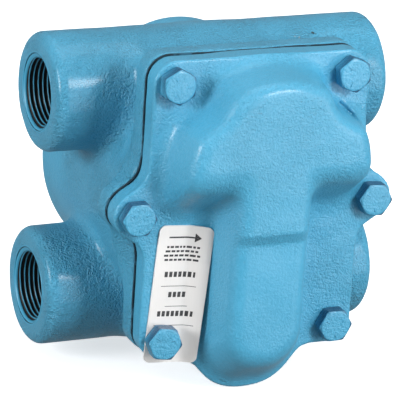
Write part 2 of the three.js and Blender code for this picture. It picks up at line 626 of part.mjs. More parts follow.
/** Lever: hub on the pivot pin, fork on the valve pin, two arms and the plate that holds the float. */
function floatLever() {
  const hub = turnX(rod(PIN_RADIUS + 1.8, -cheekInner + GAP, cheekInner - GAP), PIVOT_Y, pivotZ);
  const tineInner = WAIST_RADIUS + 0.4;
  const fork = [-1, 1].flatMap((side) => {
    const [a, b] = side > 0 ? [tineInner, tineInner + 2.2] : [-tineInner - 2.2, -tineInner];
    return [
      box(a, b, PIVOT_Y - 0.8, PIVOT_Y + 0.8, SEAT_Z, pivotZ - PIN_RADIUS - 1),
      turnX(rod(FORK_RADIUS, a, b), PIVOT_Y, SEAT_Z),
    ];
  });
  const arms = [-1, 1].map((side) => {
    const [a, b] = side > 0 ? [armInner, armOuter] : [-armOuter, -armInner];
    return box(a, b, PIVOT_Y + 0.5, armEnd - 0.5, pivotZ - 3.5, pivotZ + 3.5);
  });
  const endPlate = box(-armOuter, armOuter, armEnd - 1.8, armEnd, pivotZ - 5, pivotZ + 5);
  const studHole = turnY(rod(STUD_RADIUS + GAP, armEnd - 3, armEnd + 1), 0, pivotZ);
  const bore = turnX(rod(PIN_RADIUS + PIN_CLEARANCE, -cheekInner, cheekInner), PIVOT_Y, pivotZ);
  return cut(join(hub, ...fork, ...arms, endPlate), bore, studHole);
}

// ---------------------------------------------------------------- float

/** Half of the ball float about its own centre, with its pole towards sign times y. */
function floatShell(sign, holeRadius) {
  const quarter = (radius) => roundPoints(0, 0, radius, 0, 90, 7).slice(0, -1);
  const outer = quarter(FLOAT_RADIUS);
  const inner = quarter(FLOAT_RADIUS - FLOAT_WALL).reverse();
  const profile = [...outer, [0, FLOAT_RADIUS], [0, FLOAT_RADIUS - FLOAT_WALL], ...inner, outer[0]];
  const half = profile.map(([radius, y]) => [radius, sign * y]);
  const shell = turnY(sign > 0 ? half : half.reverse(), 0, 0, FACETS / 2);
  return holeRadius > 0 ? shell.subtract(turnY(rod(holeRadius, -FLOAT_RADIUS - 1, 0))) : shell;
}

/** Stud brazed through the front shell: boss outside, collar inside, thread for the nut. */
function floatStud() {
  const pole = -FLOAT_RADIUS;
  const boss = pole - STUD_BOSS;
  return turnY([[0, boss - 8], [STUD_RADIUS - 0.5, boss - 8], [STUD_RADIUS, boss - 7.5], [STUD_RADIUS, boss],
    [STUD_BOSS_RADIUS, boss], [STUD_BOSS_RADIUS, pole - 1], [STUD_NECK_RADIUS, pole - 0.2],
    [STUD_NECK_RADIUS, pole + 3], [0, pole + 3]]);
}

function addFloat() {
  const ball = new THREE.Group();
  ball.position.set(0, floatY, pivotZ);
  trap.add(ball);
  add('float_front_shell', floatShell(-1, STUD_NECK_RADIUS + GAP), stainless(), [0, 0, 0], ball);
  add('float_rear_shell', floatShell(1, 0), stainless(), [0, 0, 0], ball);
  add('float_stud', floatStud(), stainless(), [0, 0, 0], ball);
  const washerFront = -FLOAT_RADIUS - STUD_BOSS - 1.8 - GAP;
  const nutBack = washerFront - LOCK_WASHER;
  const nutFront = nutBack - LOCK_NUT;
  const washer = turnY(ring(STUD_RADIUS + GAP, STUD_RADIUS + 2.2, nutBack, washerFront));
  const nutBore = turnY(rod(STUD_RADIUS + GAP, nutFront - 1, nutBack + 1));
  const nut = hexagon(LOCK_NUT_FLATS, nutFront, nutBack, 'front').subtract(nutBore);
  add('float_washer', washer, stainless(), [0, 0, 0], ball);
  add('float_nut', nut, stainless(), [0, 0, 0], ball);
}

// ---------------------------------------------------------------- thermostatic air vent

const ventSeatFace = VENT_PAD_Y + VENT_SEAT_FLANGE;
const capsuleFront = ventSeatFace + VENT_LIFT + 1.7;
const capsuleBack = capsuleFront + CAPSULE_THICKNESS;

function ventSeat() {
  const head = hexagon(VENT_SEAT_FLATS, VENT_PAD_Y, ventSeatFace, 'back');
  const shank = turnY(rod(VENT_THREAD_RADIUS, VENT_PAD_Y - 4.5, VENT_PAD_Y + 1));
  const orifice = turnY(rod(VENT_ORIFICE_RADIUS, VENT_PAD_Y - 6, ventSeatFace + 1));
  return cut(head.add(shank), orifice);
}

/** Moving head of the vent, its stem inside the capsule. */
function ventValve() {
  const tip = ventSeatFace + VENT_LIFT;
  const end = capsuleFront + 2.5;
  return turnY([[0, tip], [1, tip], [VENT_STEM_RADIUS, tip + 0.9], [VENT_STEM_RADIUS, end], [0, end]]);
}

/** Filled capsule with rolled rim and pressed rings, open at the front for the valve's stem. */
function ventCapsule() {
  const inner = CAPSULE_RADIUS - 3;
  const middle = (capsuleFront + capsuleBack) / 2;
  const hole = VENT_STEM_RADIUS + GAP;
  const profile = [[hole, capsuleFront + 3], [hole, capsuleFront], [inner - 2, capsuleFront],
    [inner - 1, capsuleFront + 0.8], [inner, capsuleFront + 0.3], [inner + 1, middle - 0.8],
    [CAPSULE_RADIUS, middle - 0.8], [CAPSULE_RADIUS, middle + 0.8], [inner + 1, middle + 0.8],
    [inner, capsuleBack - 0.3], [0, capsuleBack], [0, capsuleFront + 3], [hole, capsuleFront + 3]];
  return turnY(profile);
}

/** Strap over the capsule with a foot at each side, bent from one strip. */
function ventCage() {
  const back = capsuleBack + 0.2;
  const legX = CAPSULE_RADIUS + 0.6;
  const thick = 0.8;
  const halfStrip = 4.5;
  const foot = ventScrewX + 3.4;
  const strip = (x0, x1, y0, y1) => box(x0, x1, y0, y1, VENT_Z - halfStrip, VENT_Z + halfStrip);
  const parts = [-1, 1].flatMap((side) => {
    const inOut = (a, b) => (side > 0 ? [a, b] : [-b, -a]);
    return [strip(...inOut(legX, foot), VENT_PAD_Y, VENT_PAD_Y + thick),
      strip(...inOut(legX, legX + thick), VENT_PAD_Y, back + thick)];
  });
  const bar = strip(-legX - thick, legX + thick, back, back + thick);
  const holes = [-1, 1].map((side) => turnY(rod(bracketScrew.radius + GAP, VENT_PAD_Y - 1, VENT_PAD_Y + 2),
    side * ventScrewX, VENT_Z));
  return cut(join(...parts, bar), ...holes);
}

// ---------------------------------------------------------------- the trap

add('body_casting', bodyCasting(), bluePaint());
add('cover_casting', coverCasting(), bluePaint());
add('cover_gasket', coverGasket(), finish(0x3b3f42, 0.0, 0.9));
addCoverBolts();
add('nameplate', nameplate(), finish(0xd9dbdc, 0.9, 0.4), [-boltLow.x, coverFront - PLATE_GAP, boltLow.z]);
add('valve_seat', valveSeat(), stainless(), [0, 0, SEAT_Z]);
add('seat_gasket', crushWasher(), finish(0xb5673f, 1.0, 0.4), [0, 0, SEAT_Z]);
add('valve_pin', valvePin(), stainless(), [0, 0, SEAT_Z]);
add('lever_bracket', leverBracket(), stainless());
for (const [side, sign] of [['left', -1], ['right', 1]]) {
  add(`bracket_screw_${side}`, slottedScrew(), stainless(),
    [sign * bracketScrew.x, coverBack + SHEET, bracketScrew.z]);
  add(`vent_screw_${side}`, slottedScrew(), stainless(), [sign * ventScrewX, VENT_PAD_Y + 0.8, VENT_Z]);
}
add('pivot_pin', pivotPin(), stainless());
add('pivot_clip', pivotClip(), stainless());
add('float_lever', floatLever(), stainless());
addFloat();
add('vent_seat', ventSeat(), brass(), [0, 0, VENT_Z]);
add('vent_valve', ventValve(), stainless(), [0, 0, VENT_Z]);
add('vent_capsule', ventCapsule(), stainless(), [0, 0, VENT_Z]);
add('vent_cage', ventCage(), stainless());

export default trap;
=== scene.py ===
"""Looks of a float and thermostatic steam trap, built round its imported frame.

Lengths inside the classes are millimetres in the frame's own axes: the origin is the middle of the
inlet run, +X runs along it, +Y points to the back of the bowl, -Y to the cover, +Z up.
"""

import logging
import math
from dataclasses import dataclass, field
from enum import Enum
from typing import Callable, Sequence

import bmesh
import bpy
import numpy as np
from mathutils import Matrix, Vector

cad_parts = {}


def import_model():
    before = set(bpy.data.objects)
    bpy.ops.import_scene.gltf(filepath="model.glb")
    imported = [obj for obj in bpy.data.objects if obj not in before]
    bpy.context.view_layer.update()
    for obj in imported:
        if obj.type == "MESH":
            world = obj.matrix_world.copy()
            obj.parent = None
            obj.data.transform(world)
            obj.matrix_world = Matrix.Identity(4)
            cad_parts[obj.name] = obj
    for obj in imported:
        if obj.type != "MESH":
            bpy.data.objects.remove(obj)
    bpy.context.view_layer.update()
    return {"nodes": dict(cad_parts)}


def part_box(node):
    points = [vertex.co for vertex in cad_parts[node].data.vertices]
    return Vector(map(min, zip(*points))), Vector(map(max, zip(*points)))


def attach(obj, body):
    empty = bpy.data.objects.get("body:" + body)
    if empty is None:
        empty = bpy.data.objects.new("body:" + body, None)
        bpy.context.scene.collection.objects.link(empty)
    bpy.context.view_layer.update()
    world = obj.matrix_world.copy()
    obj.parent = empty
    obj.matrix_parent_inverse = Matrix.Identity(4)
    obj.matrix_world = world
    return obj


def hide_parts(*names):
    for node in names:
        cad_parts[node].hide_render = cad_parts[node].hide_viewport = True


MM = 0.001
LOG = logging.getLogger("steam_trap")

Array = np.ndarray
Field = Callable[[Array], Array]
Colour = tuple[float, float, float]
Rgba = tuple[float, float, float, float]
Material = bpy.types.Material
Piece = bpy.types.Object
Socket = bpy.types.NodeSocket


# ---------------------------------------------------------------- names


class Body(Enum):
    """Bodies of the frame that pieces ride on."""

    HOUSING = "housing"
    FLOAT_ARM = "float_arm"
    OUTLET_VALVE = "outlet_valve"
    AIR_VENT_VALVE = "air_vent_valve"


class Slot(Enum):
    """Material slots of the record."""

    ENAMEL = "blue_enamel_iron"
    GASKET = "gasket_fibre"
    PLATE = "plate_aluminium"
    STAINLESS = "stainless"
    BRASS = "brass"
    COPPER = "copper"


class Axis(Enum):
    """Axis that a turned piece or a cylinder lies along."""

    X = 0
    Y = 1
    Z = 2


# ---------------------------------------------------------------- distance fields


def smooth_union(first: Array, second: Array, fillet: float) -> Array:
    """Joins two fields with a concave fillet of about the given radius."""
    blend = np.maximum(fillet - np.abs(first - second), 0.0) / fillet
    return np.minimum(first, second) - blend * blend * fillet * 0.25


def smooth_common(first: Array, second: Array, round_edge: float) -> Array:
    """Keeps what lies in both fields, with a rounded edge between them."""
    return -smooth_union(-first, -second, round_edge)


def smooth_cut(first: Array, second: Array, round_edge: float) -> Array:
    """Takes the second field out of the first, with a rounded edge."""
    return smooth_common(first, -second, round_edge)


def cylinder(
    points: Array,
    axis: Axis,
    centre: tuple[float, float],
    radius: float,
    low: float,
    high: float,
    edge: float = 0.0,
) -> Array:
    """Field of a cylinder with rounded rims.

    Args:
        points: places to measure, one row each.
        axis: direction of the cylinder.
        centre: its place on the two other axes, in their order.
        radius: its radius.
        low: where it starts along its axis.
        high: where it ends.
        edge: radius of both rims.

    Returns:
        Signed distance, negative inside.
    """
    others = [i for i in range(3) if i != axis.value]
    radial = np.hypot(points[:, others[0]] - centre[0], points[:, others[1]] - centre[1]) - (radius - edge)
    along = np.abs(points[:, axis.value] - (low + high) / 2) - ((high - low) / 2 - edge)
    outside = np.hypot(np.maximum(radial, 0), np.maximum(along, 0))
    return outside + np.minimum(np.maximum(radial, along), 0) - edge


def block(points: Array, low: Sequence[float], high: Sequence[float], edge: float = 0.0) -> Array:
    """Field of a box with rounded edges, between two opposite corners.

    Args:
        points: places to measure, one row each.
        low: lowest corner.
        high: highest corner.
        edge: radius of its edges.

    Returns:
        Signed distance, negative inside.
    """
    low_corner, high_corner = np.asarray(low, float), np.asarray(high, float)
    reach = np.abs(points - (low_corner + high_corner) / 2) - ((high_corner - low_corner) / 2 - edge)
    outside = np.linalg.norm(np.maximum(reach, 0), axis=1)
    return outside + np.minimum(reach.max(axis=1), 0) - edge


def flat_block(x: Array, z: Array, box: tuple[float, float, float, float], corner: float) -> Array:
    """Field of a rectangle in x and z with round corners; box is (x0, x1, z0, z1).

    Args:
        x: places across.
        z: places along.
        box: (x0, x1, z0, z1) of the rectangle.
        corner: radius of its corners.

    Returns:
        Signed distance, negative inside.
    """
    x0, x1, z0, z1 = box
    across = np.abs(x - (x0 + x1) / 2) - ((x1 - x0) / 2 - corner)
    along = np.abs(z - (z0 + z1) / 2) - ((z1 - z0) / 2 - corner)
    outside = np.hypot(np.maximum(across, 0), np.maximum(along, 0))
    return outside + np.minimum(np.maximum(across, along), 0) - corner


def cast_waviness(points: Array, depth: float) -> Array:
    """Slow unevenness of a sand casting, from a few fixed waves.

    Args:
        points: places to measure, one row each.
        depth: height of the waves.

    Returns:
        Height of the waves at each place.
    """
    rng = np.random.default_rng(7)
    total = np.zeros(len(points))
    for length, share in ((34.0, 0.45), (19.0, 0.35), (11.0, 0.2)):
        for _ in range(3):
            direction = rng.normal(size=3)
            direction *= 2 * math.pi / (length * np.linalg.norm(direction))
            total += share * np.sin(points @ direction + rng.uniform(0, 2 * math.pi)) / 3
    return total * depth


# ---------------------------------------------------------------- meshes from fields


def new_object(
    name: str, vertices: Array, faces: Sequence[Sequence[int]] | Array, smooth: bool = True
) -> Piece:
    """Makes a mesh object from vertices in millimetres.

    Args:
        name: of the piece.
        vertices: in millimetres.
        faces: vertex numbers of each face.
        smooth: whether its faces are shaded smooth.

    Returns:
        The piece.
    """
    mesh = bpy.data.meshes.new(name)
    face_list = faces.tolist() if isinstance(faces, np.ndarray) else list(faces)
    mesh.from_pydata((np.asarray(vertices, float) * MM).tolist(), [], face_list)
    mesh.validate()
    mesh.polygons.foreach_set("use_smooth", [smooth] * len(mesh.polygons))
    mesh.update()
    made = bpy.data.objects.new(name, mesh)
    bpy.context.scene.collection.objects.link(made)
    return made


def gradient(shape: Field, points: Array, step: float = 0.05) -> Array:
    """Direction in which a field grows, by central differences.

    Args:
        shape: the field.
        points: places to measure, one row each.
        step: half the distance between two samples.

    Returns:
        Slope at each place.
    """
    slopes = np.empty_like(points)
    for i in range(3):
        offset = np.zeros(3)
        offset[i] = step
        slopes[:, i] = (shape(points + offset) - shape(points - offset)) / (2 * step)
    return slopes


@dataclass
class SurfaceNet:
    """Turns a distance field into a closed mesh of quads that lies exactly on its surface.

    Attributes:
        low: lowest corner of the space that is searched.
        high: highest corner.
        cell: size of a quad.
        pulls: how often each vertex is pulled onto the surface.
    """

    low: tuple[float, float, float]
    high: tuple[float, float, float]
    cell: float = 1.2
    pulls: int = 2

    def sample(self, shape: Field) -> tuple[Array, Array]:
        """Measures the field on the grid, a slab at a time.

        Args:
            shape: the field.

        Returns:
            The grid of values, and its lowest corner.
        """
        low = np.asarray(self.low, float) - 2.03 * self.cell
        counts = np.ceil((np.asarray(self.high, float) - low) / self.cell).astype(int) + 3
        y, z = np.meshgrid(*(low[i] + self.cell * np.arange(counts[i]) for i in (1, 2)), indexing="ij")
        values = np.empty(counts)
        for i in range(counts[0]):
            x = np.full(y.size, low[0] + self.cell * i)
            values[i] = shape(np.column_stack([x, y.ravel(), z.ravel()])).reshape(y.shape)
        return values, low

    def mesh(self, shape: Field) -> tuple[Array, Array]:
        """Builds the surface.

        Args:
            shape: the field.

        Returns:
            Vertices, and quads whose faces point outwards.
        """
        values, low = self.sample(shape)
        counts = np.array(values.shape)
        strides = np.array([counts[1] * counts[2], counts[2], 1])
        sums = np.zeros((values.size, 3))
        hits = np.zeros(values.size)
        quads = []
        for axis in range(3):
            others = [i for i in range(3) if i != axis]
            near = np.moveaxis(values, axis, 0)[:-1]
            far = np.moveaxis(values, axis, 0)[1:]
            where = np.argwhere((near < 0) != (far < 0))
            spots = np.empty_like(where)
            spots[:, axis] = where[:, 0]
            spots[:, others[0]] = where[:, 1]
            spots[:, others[1]] = where[:, 2]
            a = values[tuple(spots.T)]
            ahead = spots.copy()
            ahead[:, axis] += 1
            b = values[tuple(ahead.T)]
            crossing = spots.astype(float)
            crossing[:, axis] += a / (a - b)
            corners = []
            for back_0, back_1 in ((1, 1), (0, 1), (0, 0), (1, 0)):
                cell = spots.copy()
                cell[:, others[0]] -= back_0
                cell[:, others[1]] -= back_1
                index = cell @ strides
                corners.append(index)
                np.add.at(sums, index, crossing)
                np.add.at(hits, index, 1)
            loop = np.stack(corners, axis=1)
            flip = (a < 0) if axis != 1 else (a >= 0)
            loop[~flip] = loop[~flip][:, ::-1]
            quads.append(loop)
        used = np.flatnonzero(hits)
        renumber = np.full(values.size, -1)
        renumber[used] = np.arange(len(used))
        vertices = low + self.cell * sums[used] / hits[used, None]
        return self.pull(shape, vertices), renumber[np.concatenate(quads)]

    def pull(self, shape: Field, vertices: Array) -> Array:
        """Moves vertices onto the surface along the field's slope.

        Args:
            shape: the field.
            vertices: in millimetres.

        Returns:
            The moved vertices.
        """
        for _ in range(self.pulls):
            slope = gradient(shape, vertices)
            steepness = np.maximum((slope * slope).sum(axis=1), 0.25)
            step = slope * (shape(vertices) / steepness)[:, None]
            length = np.linalg.norm(step, axis=1, keepdims=True)
            vertices = vertices - step * np.minimum(1.0, 0.4 * self.cell / np.maximum(length, 1e-9))
        return vertices


def plain_mesh(made: Piece) -> Piece:
    """Turns an object's live modifiers into its own plain mesh.

    Args:
        made: the piece.

    Returns:
        The piece.
    """
    graph = bpy.context.evaluated_depsgraph_get()
    finished = bpy.data.meshes.new_from_object(made.evaluated_get(graph))
    made.modifiers.clear()
    old = made.data
    made.data = finished
    bpy.data.meshes.remove(old)
    made.data.name = made.name
    return made


def shade_smooth(made: Piece, sharp: float = 180.0) -> None:
    """Shades every face smooth, with an edge where faces meet at more than an angle in degrees.

    Args:
        made: the piece.
        sharp: angle in degrees; 180 for no edges.
    """
    made.data.polygons.foreach_set("use_smooth", [True] * len(made.data.polygons))
    if sharp < 180.0:
        made.data.set_sharp_from_angle(angle=math.radians(sharp))


def thin_out(made: Piece, triangles: int) -> Piece:
    """Reduces a dense mesh to about the given number of triangles, keeping its curved stretches.

    Args:
        made: the piece.
        triangles: about how many to keep.

    Returns:
        The piece.
    """
    modifier = made.modifiers.new("thin", "DECIMATE")
    modifier.ratio = min(1.0, triangles / (2 * len(made.data.polygons)))
    plain_mesh(made)
    shade_smooth(made)
    return made


def settle(
    made: Piece,
    body: Body,
    material: Material,
    nodes: Sequence[str] = (),
) -> Piece:
    """Dresses a finished piece and hands it to the frame.

    Args:
        made: the piece, in place.
        body: body that it rides on.
        material: its own material.
        nodes: nodes of the frame that it stands for.

    Returns:
        The same piece.
    """
    made.data.materials.clear()
    made.data.materials.append(material)
    hand_over(made, body, nodes)
    return made


def dress_inside(made: Piece, inside: Material, hollow: Field) -> None:
    """Gives the faces along a hollow their own material, after the outer one.

    Args:
        made: the piece.
        inside: material of the faces along the hollow.
        hollow: field of the hollow.
    """
    made.data.materials.append(inside)
    centres = np.empty(3 * len(made.data.polygons))
    made.data.polygons.foreach_get("center", centres)
    bare = hollow(centres.reshape(-1, 3) / MM) < 0.3
    made.data.polygons.foreach_set("material_index", bare.astype(np.int32))


def hand_over(made: Piece, body: Body, nodes: Sequence[str] = ()) -> None:
    """Rides a dressed piece on its body and reports it.

    Args:
        made: the piece.
        body: body that it rides on.
        nodes: nodes of the frame that it stands for.
    """
    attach(made, body.value)
    if nodes:
        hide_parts(*nodes)
    LOG.info("%s: %d faces on %s", made.name, len(made.data.polygons), body.value)


# ---------------------------------------------------------------- turned pieces


Ring = tuple[float, float, float]


def softened(points: Sequence[tuple[float, float]], edge: float = 0.2, closed: bool = False) -> list[Ring]:
    """Rounds the corners of a half outline.

    Args:
        points: radius and place along the axis of each corner.
        edge: how far from a corner its rounding starts.
        closed: whether the outline comes back to its first point, as that of a piece with a bore does.

    Returns:
        Rings as (radius, place, groove), ready for the turned tree.
    """
    corners = [Vector((*point, 0.0)) for point in points]
    rings = [] if closed else [corners[0]]
    count = len(corners)
    for i in range(0 if closed else 1, count if closed else count - 1):
        here, before, after = corners[i], corners[i - 1], corners[(i + 1) % count]
        reach = min(edge, (before - here).length * 0.4, (after - here).length * 0.4)
        start = here + (before - here).normalized() * reach
        end = here + (after - here).normalized() * reach
        rings.append(here + (before - here).normalized() * reach * 1.2)
        for share in (0.0, 0.33, 0.67, 1.0):
            rings.append(start.lerp(here, share).lerp(here.lerp(end, share), share))
        rings.append(here + (after - here).normalized() * reach * 1.2)
    rings.append(rings[0] if closed else corners[-1])
    return [(ring.x, ring.y, 0.0) for ring in rings]


def thread_rings(
    radius: float, start: float, end: float, pitch: float, groove: float, taper: float = 0.0
) -> list[Ring]:
    """Rings of a threaded stretch.

    Args:
        radius: of the crest at the start.
        start: place where the thread starts.
        end: place where it ends.
        pitch: distance from crest to crest.
        groove: depth of the groove, negative towards the axis.
        taper: loss of radius for each millimetre along the axis.

    Returns:
        Rings close enough to show the helix.
    """
    length = abs(end - start)
    count = max(8, round(length / pitch * 8))
    return [(radius - taper * length * i / count, start + (end - start) * i / count, groove)
            for i in range(count + 1)]


class NodeWriter:
    """Short hand for writing a Geometry Nodes tree."""

    def __init__(self, name: str) -> None:
        """Starts an empty tree with a geometry input and output.

        Args:
            name: of the piece.
        """
        self.tree = bpy.data.node_groups.new(name, "GeometryNodeTree")
        self.tree.interface.new_socket("Geometry", in_out="INPUT", socket_type="NodeSocketGeometry")
        self.tree.interface.new_socket("Geometry", in_out="OUTPUT", socket_type="NodeSocketGeometry")
        self.start = self.tree.nodes.new("NodeGroupInput")

    def size(self, name: str, kind: str) -> None:
        """Adds a named input."""
        self.tree.interface.new_socket(name, in_out="INPUT", socket_type=f"NodeSocket{kind}")

    def input(self, name: str) -> Socket:
        """One of the named inputs, as a source."""
        return self.start.outputs[name]

    def node(self, kind: str, values: dict | None = None, **settings: object) -> bpy.types.Node:
        """Adds a node with its settings, and links or sets its inputs.

        Args:
            kind: type of the node.
            values: inputs to link or set.
            settings: properties of the node.

        Returns:
            The node.
        """
        made = self.tree.nodes.new(kind)
        for name, value in settings.items():
            setattr(made, name, value)
        for name, value in (values or {}).items():
            socket = made.inputs[name]
            if isinstance(value, Socket):
                self.tree.links.new(value, socket)
            else:
                socket.default_value = value
        return made

    def math(self, operation: str, *values: object) -> Socket:
        """One sum, product or other operation."""
        return self.node("ShaderNodeMath", dict(enumerate(values)), operation=operation).outputs[0]

    def end(self, geometry: Socket) -> bpy.types.NodeTree:
        """Links the result."""
        self.tree.links.new(geometry, self.tree.nodes.new("NodeGroupOutput").inputs[0])
        return self.tree


def turned_tree() -> bpy.types.NodeTree:
    """Tree that turns a profile about an axis, cuts its flats and threads, and sets a copy on every point.

    Returns:
        The tree.
    """
    write = NodeWriter("turned_copies")
    for name, kind in (("Profile", "Object"), ("Rings", "Int"), ("Facets", "Int"), ("Flats", "Float"),
                       ("Pitch", "Float"), ("Finish", "Material")):
        write.size(name, kind)
    columns = write.math("ADD", write.input("Facets"), 1.0)
    counts = {"Size X": 1.0, "Size Y": 1.0, "Vertices X": write.input("Rings"), "Vertices Y": columns}
    grid = write.node("GeometryNodeMeshGrid", counts)
    index = write.node("GeometryNodeInputIndex").outputs[0]
    ring = write.math("FLOOR", write.math("DIVIDE", write.math("ADD", index, 0.5), columns))
    step = write.math("SUBTRACT", index, write.math("MULTIPLY", ring, columns))
    turn = write.math("DIVIDE", step, write.input("Facets"))
    angle = write.math("MULTIPLY", turn, 2 * math.pi)
    profile = write.node("GeometryNodeObjectInfo", {"Object": write.input("Profile")})
    place = write.node("GeometryNodeInputPosition").outputs[0]
    sample = {"Geometry": profile.outputs["Geometry"], "Value": place, "Index": ring}
    found = write.node("GeometryNodeSampleIndex", sample, data_type="FLOAT_VECTOR").outputs[0]
    parts = write.node("ShaderNodeSeparateXYZ", {0: found}).outputs
    radius, along, groove = parts[0], parts[1], parts[2]
    helix = write.math("SUBTRACT", write.math("DIVIDE", along, write.input("Pitch")), turn)
    depth = write.math("MULTIPLY", write.math("PINGPONG", helix, 0.5), 2.0)
    depth = write.math("SMOOTH_MIN", write.math("MULTIPLY", depth, 1.25), 1.0, 0.2)
    threaded = write.math("ADD", radius, write.math("MULTIPLY", groove, depth))
    sixth = math.pi / 3
    off_flat = write.math("SUBTRACT", write.math("MODULO", angle, sixth), sixth / 2)
    half_flats = write.math("MULTIPLY", write.input("Flats"), 0.5)
    flat = write.math("DIVIDE", half_flats, write.math("COSINE", off_flat))
    corner = write.math("MULTIPLY", write.input("Flats"), 0.5 * 1.13)
    kept = write.math("MINIMUM", threaded, write.math("MINIMUM", flat, corner))
    across = write.math("MULTIPLY", kept, write.math("COSINE", angle))
    up = write.math("MULTIPLY", kept, write.math("SINE", angle))
    spot = write.node("ShaderNodeCombineXYZ", {0: across, 1: along, 2: up}).outputs[0]
    shaped = write.node("GeometryNodeSetPosition", {"Geometry": grid.outputs["Mesh"], "Position": spot})
    # The stored groove attribute also carries painted shade: the enamel darkens the bolt heads' side faces
    # by it.
    threads = write.math("MULTIPLY", write.math("ABSOLUTE", groove), 5000.0)
    shade = write.math("MULTIPLY", depth, write.math("MINIMUM", threads, 1.0))
    marked = write.node("GeometryNodeStoreNamedAttribute",
                        {"Geometry": shaped.outputs[0], "Name": "groove", "Value": shade},
                        data_type="FLOAT", domain="POINT")
    closed = write.node("GeometryNodeMergeByDistance", {"Geometry": marked.outputs[0], "Distance": 2e-6})
    turned = write.node("GeometryNodeInputNamedAttribute", {"Name": "turn"}, data_type="FLOAT_VECTOR")
    rotation = write.node("FunctionNodeEulerToRotation", {0: turned.outputs[0]}).outputs[0]
    set_out = {"Points": write.input("Geometry"), "Instance": closed.outputs[0], "Rotation": rotation}
    copies = write.node("GeometryNodeInstanceOnPoints", set_out)
    real = write.node("GeometryNodeRealizeInstances", {"Geometry": copies.outputs[0]})
    smooth = write.node("GeometryNodeSetShadeSmooth", {"Geometry": real.outputs[0]})
    finish = {"Geometry": smooth.outputs[0], "Material": write.input("Finish")}
    return write.end(write.node("GeometryNodeSetMaterial", finish).outputs[0])


@dataclass(frozen=True)
class Place:
    """Where a copy of a turned piece stands: its origin in millimetres and its turns in degrees.

    A turned piece's axis is +Y before it is turned.
    """

    x: float
    y: float
    z: float
    turn: tuple[float, float, float] = (0.0, 0.0, 0.0)


@dataclass
class Lathe:
    """Makes turned pieces with the turned tree.

    Attributes:
        metals: the material for each metal slot.
        tree: the turned tree.
    """

    metals: dict[Slot, Material]
    tree: bpy.types.NodeTree = field(default_factory=turned_tree)

    def make(
        self,
        name: str,
        rings: Sequence[Ring],
        places: Sequence[Place],
        finish: Material,
        facets: int = 48,
        flats: float = 1000.0,
        pitch: float = 1.0,
    ) -> Piece:
        """Turns one profile and sets a copy at every place.

        Args:
            name: of the piece.
            rings: radius, place along the axis and groove of each ring, in millimetres.
            places: where the copies stand.
            finish: its material.
            facets: steps round the axis.
            flats: distance between the flats of a hexagon, where the piece is wider than that.
            pitch: of its threads.

        Returns:
            One plain mesh.
        """
        profile = new_object(f"{name}_profile", np.array(rings), [])
        made = new_object(name, np.array([(at.x, at.y, at.z) for at in places]), [])
        turns = made.data.attributes.new("turn", "FLOAT_VECTOR", "POINT")
        turns.data.foreach_set("vector", np.radians([at.turn for at in places]).ravel())
        modifier = made.modifiers.new("turned", "NODES")
        modifier.node_group = self.tree
        values = {"Profile": profile, "Rings": len(rings), "Facets": facets, "Flats": flats * MM,
                  "Pitch": pitch * MM, "Finish": finish}
        for item in self.tree.interface.items_tree:
            if item.in_out == "INPUT" and item.name in values:
                modifier[item.identifier] = values[item.name]
        plain_mesh(made)
        bpy.data.objects.remove(profile)
        outward(made)
        return made

    def fit(
        self,
        name: str,
        node: str,
        rings: Sequence[Ring],
        slot: Slot = Slot.STAINLESS,
        body: Body = Body.HOUSING,
        facets: int = 48,
        flats: float = 1000.0,
        pitch: float = 1.0,
    ) -> None:
        """Turns the piece that stands for one node, on that node's axis, and hands it over.

        Args:
            name: of the piece.
            node: that it stands for.
            rings: its half outline.
            slot: its metal.
            body: body that it rides on.
            facets: steps round the axis.
            flats: distance between the flats of a hexagon.
            pitch: of its threads.
        """
        made = self.make(name, rings, [on_axis(node)], self.metals[slot], facets, flats, pitch)
        hand_over(made, body, [node])

    def press(self, name: str, node: Piece, body: Body = Body.HOUSING, edge: float = 0.25) -> None:
        """Makes the pressed steel piece that stands for one node, and hands it over.

        Args:
            name: of the piece.
            node: that it stands for.
            body: body that it rides on.
            edge: width of its rounded edges.
        """
        made = softened_copy(name, node, self.metals[Slot.STAINLESS], edge)
        hand_over(made, body, [node.name])


def outward(made: Piece) -> None:
    """Points every face outwards.

    Args:
        made: the piece.
    """
    shape = bmesh.new()
    shape.from_mesh(made.data)
    bmesh.ops.recalc_face_normals(shape, faces=shape.faces)
    shape.to_mesh(made.data)
    shape.free()


def softened_copy(
    name: str, node: Piece, finish: Material, edge: float = 0.25, angle: float = 35.0
) -> Piece:
    """Copies a frame node as one smooth piece with rounded edges.

    Args:
        name: of the new piece.
        node: node to copy; it stays as it is.
        finish: material of the piece.
        edge: width of the rounding, in millimetres.
        angle: corners sharper than this are rounded, in degrees.

    Returns:
        The piece.
    """
    shape = bmesh.new()
    shape.from_mesh(node.data)
    bmesh.ops.remove_doubles(shape, verts=shape.verts, dist=2e-6)
    bmesh.ops.dissolve_limit(shape, angle_limit=math.radians(1.0), verts=shape.verts, edges=shape.edges)
    mesh = bpy.data.meshes.new(name)
    shape.to_mesh(mesh)
    shape.free()
    made = bpy.data.objects.new(name, mesh)
    bpy.context.scene.collection.objects.link(made)
    bevel = made.modifiers.new("edge", "BEVEL")
    bevel.width = edge * MM
    bevel.segments = 2
    bevel.limit_method = "ANGLE"
    bevel.angle_limit = math.radians(angle)
    bevel.harden_normals = False
    plain_mesh(made)
    shade_smooth(made, 50.0)
    made.data.materials.clear()
    made.data.materials.append(finish)
    return made


# ---------------------------------------------------------------- material tools


RANGE_INPUTS = ("From Min", "From Max", "To Min", "To Max")


def tinted(colour: Colour, share: float = 1.0, lift: float = 0.0) -> Rgba:
    """Linear colour times a share, plus a lift, with full alpha."""
    return (*(min(1.0, c * share + lift) for c in colour), 1.0)


